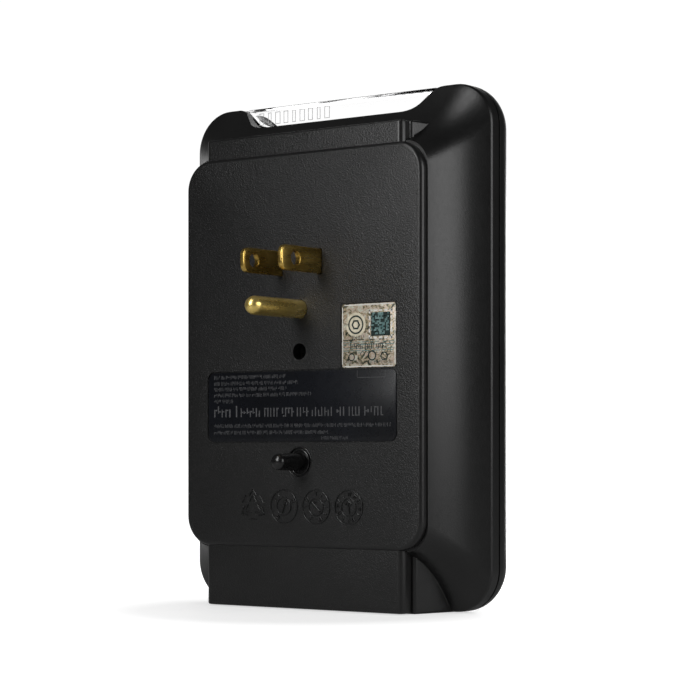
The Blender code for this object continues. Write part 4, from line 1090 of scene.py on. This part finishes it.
def make_seat_lip():
    """The low rounded lip round the peg's seat."""
    geometry = bmesh.new()
    rows = []
    for i in range(10):
        angle = 2 * math.pi * i / 10
        radius = PEG_SEAT_RADIUS + SEAT_LIP_RADIUS * math.cos(angle)
        y = SEAT_LIP_Y + SEAT_LIP_RISE * math.sin(angle)
        rows.append(row_of(geometry, circle(0.0, PEG_Z, radius, 64), y))
    skin(geometry, rows, looped=True)
    lip = smooth(place("seat_lip", mesh_from("seat_lip", geometry)), 60)
    dress(lip, looks["relief"])
    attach(lip, BODY)


# Films and marks


def film(name, node, points, recess, look):
    """A thin film set in its bed; gives the height of its face."""
    rear = -recess + FILM_LIFT + FILM_THICK
    made = prism(name, points, rear, rear - FILM_THICK)
    eased(made, FILM_EDGE, 2, 35)
    dress(made, look)
    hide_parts(node)
    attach(made, BODY)
    return rear


def detail(name, geometry, look, slot):
    """A small added piece that rides on the case."""
    made = dress(place(name, mesh_from(name, geometry)), look)
    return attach(made, BODY)


def marks(name, boxes, y, height, look, slot):
    """Thin printed marks, given as (low x, low z, high x, high z)."""
    geometry = bmesh.new()
    for x0, z0, x1, z1 in boxes:
        add_box(geometry, (x0, y, z0), (x1, y + height, z1))
    return detail(name, geometry, look, slot)


def text_row(start_x, end_x, top, height, seed):
    """Meaningless upright ticks in word-like groups; +X is the reader's left."""
    chance = random.Random(seed)
    boxes = []
    x = start_x
    left_in_word = chance.randint(4, 9)
    while x > end_x:
        wide = height * chance.uniform(0.11, 0.17)
        drop = height * chance.choice((0.0, 0.0, 0.0, 0.3))
        foot = height * chance.choice((0.0, 0.0, 0.35))
        boxes.append((x - wide, top - height + foot, x, top - drop))
        if chance.random() < 0.6:
            edge = chance.choice((top - drop - wide, top - height, top - height * 0.55))
            boxes.append((x - wide - height * 0.2, edge, x - wide * 0.8, edge + wide * 0.9))
        x -= height * 0.44
        left_in_word -= 1
        if left_in_word == 0:
            x -= height * 0.34
            left_in_word = chance.randint(2, 9)
    return boxes


def text_rows(rows):
    """Rows of ticks, each given as (start, end, top, height) in millimetres and a seed."""
    boxes = []
    for start, end, top, height, seed in rows:
        boxes += text_row(start * MM, end * MM, top * MM, height * MM, seed)
    return boxes


def make_label():
    """The black film with its rows of ticks."""
    points = bed(LABEL_HALF, LABEL_BOTTOM, LABEL_TOP, LABEL_RADIUS)
    rear = film("label", "rating_label", points, LABEL_RECESS, label_film())
    ink = coated("label_ink", (0.05, 0.051, 0.054), (0.1, 0.1, 0.105), 0.45, 900.0)
    boxes = text_rows(LABEL_ROWS)
    low_x, low_z, high_x, high_z = LABEL_BRACKET
    half = LABEL_BRACKET_LINE / 2
    for x in (high_x, low_x):
        boxes.append((x - half, low_z, x + half, high_z))
    boxes.append((low_x, low_z - half, high_x, low_z + half))
    marks("label_print", boxes, rear + INK_LIFT, LABEL_INK, ink, "label")


def disc(geometry, x, z, radius, steps, y, height):
    """A flat disc with straight walls, added to a bmesh."""
    points = circle(x, z, radius, steps)
    skin(geometry, [row_of(geometry, points, y), row_of(geometry, points, y + height)])


def flat_ring(geometry, x, z, outer, inner, steps, y, height):
    """A flat ring with straight walls, added to a bmesh."""
    rows = []
    for radius, level in ((outer, y), (outer, y + height), (inner, y + height), (inner, y)):
        rows.append(row_of(geometry, circle(x, z, radius, steps), level))
    skin(geometry, rows, looped=True)


def code_cells(chance):
    """A random pattern of square cells with a solid edge on two sides."""
    cells = []
    for row in range(CODE_SIDE):
        for column in range(CODE_SIDE):
            border = row == CODE_SIDE - 1 or column == CODE_SIDE - 1
            if border or chance.random() < 0.5:
                x = CODE_LEFT - column * CODE_CELL
                z = CODE_TOP - row * CODE_CELL
                cells.append((x - CODE_CELL, z - CODE_CELL, x, z))
    return cells


def dashed_frame(left, top, size):
    """Dashes round a square, given its upper left corner and side."""
    dashes = []
    half = DASH / 2
    count = int(size / (DASH * DASH_PITCH))
    for i in range(count + 1):
        x = left - size * i / count
        z = top - size * i / count
        dashes.append((x - half, top, x + half, top + DASH_WIDE))
        dashes.append((x - half, top - size - DASH_WIDE, x + half, top - size))
        dashes.append((left, z - half, left + DASH_WIDE, z + half))
        dashes.append((left - size - DASH_WIDE, z - half, left - size, z + half))
    return dashes


def border_lines():
    """A thin line along each side of the sticker, open at the corners."""
    low_x = STICKER_RIGHT + STICKER_RADIUS
    high_x = STICKER_LEFT - STICKER_RADIUS
    low_z = STICKER_BOTTOM + STICKER_RADIUS
    high_z = STICKER_TOP - STICKER_RADIUS
    near, far = BORDER
    return [
        (STICKER_LEFT - far, low_z, STICKER_LEFT - near, high_z),
        (STICKER_RIGHT + near, low_z, STICKER_RIGHT + far, high_z),
        (low_x, STICKER_BOTTOM + near, high_x, STICKER_BOTTOM + far),
        (low_x, STICKER_TOP - far, high_x, STICKER_TOP - near),
    ]


def broken_lines(rows, chance, length, gap, last):
    """Lines across the sticker, broken at random; rows are (z, width) in millimetres."""
    lines = []
    for z, wide in rows:
        x = STICKER_LEFT - LINE_START
        while x > STICKER_RIGHT + last:
            end = max(x - chance.uniform(*length) * MM, STICKER_RIGHT + LINE_END)
            lines.append((end, z * MM, x, (z + wide) * MM))
            x = end - chance.uniform(*gap) * MM
    return lines


def make_seal(base, cream, dark):
    """A round cream ground with a dark ring and a dark hexagon on it."""
    ground = bmesh.new()
    disc(ground, SEAL_X, SEAL_Z, SEAL_RADIUS, HOLE_STEPS, base, STICKER_INK)
    detail("sticker_seal_ground", ground, cream, "sticker")
    seal = bmesh.new()
    for outer, inner, steps in ((2.35, 1.95, 48), (1.35, 0.85, 6)):
        size = (outer * MM, inner * MM, steps, base + SECOND_INK_LIFT, SEAL_INK)
        flat_ring(seal, SEAL_X, SEAL_Z, *size)
    detail("sticker_seal", seal, dark, "sticker")


def make_sticker():
    """The foil sticker with its code square, lines, ticks, swirls and seal."""
    middle = (STICKER_LEFT + STICKER_RIGHT) / 2
    half = (STICKER_LEFT - STICKER_RIGHT) / 2
    points = bed(half, STICKER_BOTTOM, STICKER_TOP, STICKER_RADIUS, middle)
    foil = sticker_foil()
    rear = film("sticker", "security_sticker", points, STICKER_RECESS, foil)
    dark = coated("sticker_dark", (0.006, 0.012, 0.012), (0.02, 0.04, 0.036), 0.3, 700.0)
    pale = coated("sticker_pale", (0.6, 0.6, 0.57), (0.8, 0.79, 0.75), 0.35, 700.0)
    teal = coated("sticker_teal", (0.06, 0.13, 0.13), (0.2, 0.31, 0.3), 0.3, 900.0)
    cream = coated("sticker_cream", (0.5, 0.46, 0.34), (0.8, 0.74, 0.58), 0.35, 600.0)
    base = rear + INK_LIFT
    size = CODE_SIDE * CODE_CELL
    ground = [(CODE_LEFT - size, CODE_TOP - size, CODE_LEFT, CODE_TOP)]
    dashes = dashed_frame(CODE_LEFT + DASH_GAP, CODE_TOP + DASH_GAP, size + 2 * DASH_GAP)
    chance = random.Random(21)
    code = code_cells(chance)
    lines = broken_lines(TEAL_ROWS, chance, (0.8, 3.2), (0.1, 0.8), 1.6 * MM)
    smears = broken_lines(SMEAR_ROWS, chance, (0.6, 2.0), (0.4, 1.8), 2.4 * MM)
    for name, boxes, lift, height, look in (
        ("code_ground", ground, 0.0, CODE_GROUND, teal),
        ("code", code, CODE_LIFT, 0.01 * MM, dark),
        ("dashes", dashes, 0.0, 0.02 * MM, pale),
        ("border", border_lines(), 0.0, STICKER_INK, pale),
        ("lines", lines, 0.0, STICKER_INK, teal),
        ("smears", smears, 0.0, STICKER_INK, dark),
        ("ticks", text_rows(STICKER_ROWS), SECOND_INK_LIFT, STICKER_INK, dark),
    ):
        marks("sticker_" + name, boxes, base + lift, height, look, "sticker")
    swirls = bmesh.new()
    for x, z, radius in SWIRLS:
        inner = radius * 0.72 * MM
        flat_ring(swirls, x * MM, z * MM, radius * MM, inner, 20, base, STICKER_INK)
    detail("sticker_swirls", swirls, dark, "sticker")
    make_seal(base, cream, dark)


def add_chord(geometry, x, angle_a, radius_a, angle_b, radius_b, wide, lift=DIAL_LIFT):
    """A short raised bar between two polar points of a dial, in millimetres."""
    start = Vector((radius_a * math.cos(angle_a), 0.0, radius_a * math.sin(angle_a)))
    end = Vector((radius_b * math.cos(angle_b), 0.0, radius_b * math.sin(angle_b)))
    way = end - start
    half = wide / 2 * MM
    low = (-half, DIAL_SUNK, -half)
    verts = add_box(geometry, low, (way.length * MM + half, lift, half))
    spin = Matrix.Rotation(-math.atan2(way.z, way.x), 4, "Y")
    shift = Matrix.Translation(start * MM + Vector((x, 0.0, DIAL_Z)))
    bmesh.ops.transform(geometry, matrix=shift @ spin, verts=verts)


def add_spoke(geometry, x, angle, start, end, wide, lift=DIAL_LIFT):
    """A short raised bar along a radius of a dial, in millimetres."""
    half = wide / 2 * MM
    verts = add_box(geometry, (start * MM, DIAL_SUNK, -half), (end * MM, lift, half))
    spin = Matrix.Translation((x, 0, DIAL_Z)) @ Matrix.Rotation(-angle, 4, "Y")
    bmesh.ops.transform(geometry, matrix=spin, verts=verts)


def chevron_dial(geometry, x):
    """Nested chevrons and a short bar, three times round."""
    for i in range(3):
        aim = 2 * math.pi * i / 3 + math.pi / 2
        for side in (-1, 1):
            add_chord(geometry, x, aim, 4.3, aim + side * 0.42, 3.0, 0.3)
            add_chord(geometry, x, aim + side * 0.12, 2.6, aim + side * 0.75, 1.7, 0.26)
        add_chord(geometry, x, aim + 0.75, 3.6, aim + 1.35, 3.6, 0.26)


def ticked_dial(geometry, x, turn, chance, last):
    """Two rings, twelve mixed ticks and a pointer, which has a second barb on the last."""
    for outer, inner, steps in ((4.4, 4.2, 48), (2.35, 2.15, 36)):
        size = (outer * MM, inner * MM, steps, DIAL_SUNK, DIAL_LIFT - DIAL_SUNK)
        flat_ring(geometry, x, DIAL_Z, *size)
    for i in range(12):
        aim = 2 * math.pi * i / 12
        style = chance.randint(1 if last else 0, 2)
        if style > 0:
            add_spoke(geometry, x, aim, 2.85, 3.8, 0.26)
        if style > 1:
            add_spoke(geometry, x, aim + 0.17, 2.9, 3.75, 0.24)
            add_chord(geometry, x, aim, 3.7, aim + 0.2, 3.7, 0.22)
    add_spoke(geometry, x, turn, -1.75, 1.75, 0.45, DIAL_LIFT + POINTER_LIFT)
    for side in (1, -1) if last else (1,):
        barb = (turn, 1.75, turn + side * 0.75, 1.15, 0.3)
        add_chord(geometry, x, *barb, DIAL_LIFT + BARB_LIFT)


def make_dials():
    """Four moulded dials: one of chevrons, and three with rings and a pointer."""
    geometry = bmesh.new()
    chance = random.Random(8)
    chevron_dial(geometry, 15.2 * MM)
    ticked_dial(geometry, 4.95 * MM, 1.9, chance, False)
    ticked_dial(geometry, -5.45 * MM, 0.75, chance, False)
    ticked_dial(geometry, -15.75 * MM, 1.45, chance, True)
    dials = place("mould_dials", mesh_from("mould_dials", geometry))
    bevel(dials, DIAL_EDGE, 2, 50)
    applied(dials)
    dress(dials, looks["relief"])
    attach(dials, BODY)


def bar_frame(geometry, x, wide):
    """The thin outline of an upright rectangle on the clear bar's rear face."""
    y = LENS_REAR_Y + BAR_MARK_LIFT
    top_y = y + BAR_MARK_RISE
    low_x = x - wide / 2
    high_x = x + wide / 2
    low_z = BAR_MARK_Z - BAR_MARK_TALL / 2
    high_z = BAR_MARK_Z + BAR_MARK_TALL / 2
    line = BAR_MARK_LINE
    add_box(geometry, (low_x, y, low_z), (low_x + line, top_y, high_z))
    add_box(geometry, (high_x - line, y, low_z), (high_x, top_y, high_z))
    add_box(geometry, (low_x, y, low_z - line), (high_x, top_y, low_z))
    add_box(geometry, (low_x, y, high_z), (high_x, top_y, high_z + line))


def make_bar_marks():
    """Small frosted outlines on the clear bar's rear face, which carry no lettering."""
    geometry = bmesh.new()
    for i in range(9):
        x = BAR_MARK_X - i * BAR_MARK_PITCH
        bar_frame(geometry, x, (1.5, 1.1, 1.7)[i % 3] * MM)
    frost = coated("bar_frost", grey(0.42), grey(0.6), 0.5, 900.0)
    detail("bar_marks", geometry, frost, "lens")


def make_painted_edge_shade():
    """A thin grey strip along the top rear edge of the clear bar: painted shade where the clear
    edge looks dark.
    """
    half = NOTCH_TOP_HALF - LENS_FIT - EDGE_SHADE_END
    low = (-half, LENS_REAR_Y - 0.1 * MM, LENS_TOP - 0.02 * MM)
    high = (half, LENS_REAR_Y + 0.02 * MM, LENS_TOP + 0.08 * MM)
    geometry = bmesh.new()
    add_box(geometry, low, high)
    # Painted shade: a grey strip where the clear bar's edge looks dark
    edge_shade = coated("painted_edge_shade_grey", grey(0.05), grey(0.09), 0.4, 900.0)
    detail("bar_edge_painted_shade", geometry, edge_shade, "lens")


# Pieces carried over from the CAD


def inner_looks():
    """Looks by the start of a piece's name; a later match wins."""
    steel = metal("zinc_steel", [(0.3, grey(0.42)), (0.7, grey(0.66))], 0.3)
    strip_tones = [(0.3, (0.42, 0.29, 0.1)), (0.7, (0.72, 0.54, 0.22))]
    lead = (0.4, 0.2, 1200.0, 0.00002)
    green = ((0.02, 0.2, 0.05), (0.05, 0.32, 0.09))
    return {
        "shutter": plastic(
            "shutter_plastic", grey(0.024), grey(0.034), 0.38, 0.2, 2200.0, 0.00002
        ),
        "shutter_spring": steel,
        "carrier_screw": steel,
        ("line_bus", "neutral_bus", "ground_bus"): metal("strip_brass", strip_tones, 0.3),
        "circuit_board": coated("board_green", (0.012, 0.09, 0.035), (0.03, 0.16, 0.06), 0.35),
        "varistor": coated("varistor_blue", (0.015, 0.06, 0.25), (0.03, 0.12, 0.4), 0.35),
        "thermal_fuse": coated("fuse_white", (0.6, 0.59, 0.55), (0.8, 0.79, 0.76), 0.5),
        "film_capacitor": coated(
            "capacitor_yellow", (0.6, 0.4, 0.05), (0.75, 0.53, 0.1), 0.35
        ),
        "resistor": coated("resistor_tan", (0.45, 0.32, 0.19), (0.66, 0.5, 0.33), 0.4),
        "status_led": coated("lamp_green", (0.06, 0.4, 0.12), (0.12, 0.6, 0.2), 0.15),
        "blade_carrier": plastic(
            "carrier_plastic", grey(0.3), grey(0.38), 0.5, 0.3, 1500.0, 0.00003
        ),
        "screw_sleeve": plastic(
            "sleeve_plastic", grey(0.016), grey(0.022), 0.42, 0.3, 2000.0, 0.00002
        ),
        "line_lead": plastic("lead_black", grey(0.015), grey(0.025), *lead),
        "neutral_lead": plastic("lead_white", grey(0.62), grey(0.76), *lead),
        "ground_lead": plastic("lead_green", *green, *lead),
    }


def dress_cad_nodes():
    for start, look in inner_looks().items():
        for name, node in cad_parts.items():
            if name.startswith(start):
                node.data.materials.clear()
                node.data.materials.append(look)


# Studio


def stage_material(name, level):
    """A white stage whose glow is dimmed near the object, a painted shade round its foot, and
    raised further out so the floor reads evenly white.
    """
    g = Graph(name)
    tone = g.noise(3.0, 2.0)
    tones = [(0.3, grey(level)), (0.7, grey(level + 0.01))]
    g.set(Base_Color=g.ramp(tone, tones), Roughness=0.6)
    glow = g.node("ShaderNodeEmission")
    glow.inputs["Color"].default_value = WHITE
    reach = g.node("ShaderNodeVectorMath", operation="LENGTH")
    g.link(g.place(), reach.inputs[0])
    near, far = STAGE_REACH
    # Glow dimmed near the object: painted shade round its foot
    glow_with_painted_shade = g.mapped(reach.outputs["Value"], near, far, STAGE_SHADED_GLOW, STAGE_WHITE)
    seen = g.seen_directly()
    g.link(g.math("MULTIPLY", seen, glow_with_painted_shade), glow.inputs["Strength"])
    total = g.node("ShaderNodeAddShader")
    out = g.tree.nodes["Material Output"]
    g.link(g.shader.outputs["BSDF"], total.inputs[0])
    g.link(glow.outputs["Emission"], total.inputs[1])
    g.link(total.outputs["Shader"], out.inputs["Surface"])
    return g.owner


def make_floor():
    """A wide white floor just under the object's foot."""
    geometry = bmesh.new()
    bmesh.ops.create_grid(geometry, x_segments=2, y_segments=2, size=6.0)
    floor = place("floor", mesh_from("floor", geometry))
    floor.location.z = FOOT_Z - FLOOR_DROP
    dress(floor, stage_material("floor_white", 0.6))


def area_light(name, location, width, height, power):
    """A rectangular light that faces the middle of the object."""
    data = bpy.data.lights.new(name, "AREA")
    data.shape = "RECTANGLE"
    data.size = width
    data.size_y = height
    data.energy = power
    lamp = bpy.data.objects.new(name, data)
    bpy.context.scene.collection.objects.link(lamp)
    lamp.location = location
    way = Vector(LIGHT_TARGET) - Vector(location)
    lamp.rotation_euler = way.to_track_quat("-Z", "Y").to_euler()


def make_world():
    """White to the camera; dim to the object except for a soft sheet on one side."""
    g = Graph("studio", bpy.data.worlds, "Generated")
    bpy.context.scene.world = g.owner
    facing = g.node("ShaderNodeVectorMath", operation="DOT_PRODUCT")
    facing.inputs[1].default_value = BACKDROP_WAY
    g.link(g.place(), facing.inputs[0])
    sheet = g.mapped(facing.outputs["Value"], 0.8, 0.92, 0.05, 0.8, "SMOOTHSTEP")
    strength = g.node("ShaderNodeMix", data_type="FLOAT")
    strength.inputs["B"].default_value = STAGE_WHITE
    g.link(g.seen_directly(), strength.inputs["Factor"])
    g.link(sheet, strength.inputs["A"])
    back = g.tree.nodes["Background"]
    g.link(strength.outputs["Result"], back.inputs["Strength"])
    back.inputs["Color"].default_value = WHITE


def make_camera():
    """The camera that was fitted to the photograph."""
    data = bpy.data.cameras.new("camera")
    data.lens = CAMERA_LENS
    data.sensor_width = 36.0
    data.shift_y = CAMERA_SHIFT
    data.clip_start = 0.01
    data.clip_end = 50.0
    camera = bpy.data.objects.new("camera", data)
    bpy.context.scene.collection.objects.link(camera)
    camera.location = CAMERA_PLACE
    camera.rotation_euler = (math.pi / 2, 0.0, CAMERA_YAW)
    bpy.context.scene.camera = camera
    bpy.context.scene.view_settings.view_transform = "Standard"


looks = {
    "blade": brass("blade_brass", (0.42, 0.26, 0.05), (0.72, 0.5, 0.14), 0.97, 0.27),
    # The pin's brass is a lighter, less metallic copy of the blades' brass: painted light on the
    # pin
    "pin": brass("pin_brass_painted_light", (0.72, 0.51, 0.13), (0.95, 0.72, 0.25), 0.9, 0.28),
    # The dials' and seat lip's plastic is a lighter copy of the case's black: painted highlight
    # on the relief
    "relief": plastic("relief_plastic_painted_highlight", grey(0.008), grey(0.012), 0.24, 0.2, 3000.0, 0.00001),
}
make_rear_shell()
make_front_shell()
make_clear_bar()
make_bar_marks()
make_painted_edge_shade()
make_blade("line_blade_stamped", "line_blade", BLADE_PITCH / 2, LINE_BLADE)
make_blade("neutral_blade_stamped", "neutral_blade", -BLADE_PITCH / 2, NEUTRAL_BLADE)
make_pin()
make_peg()
make_seat_lip()
make_label()
make_sticker()
make_dials()
dress_cad_nodes()
make_floor()
make_world()
for light in LIGHTS:
    area_light(*light)
make_camera()
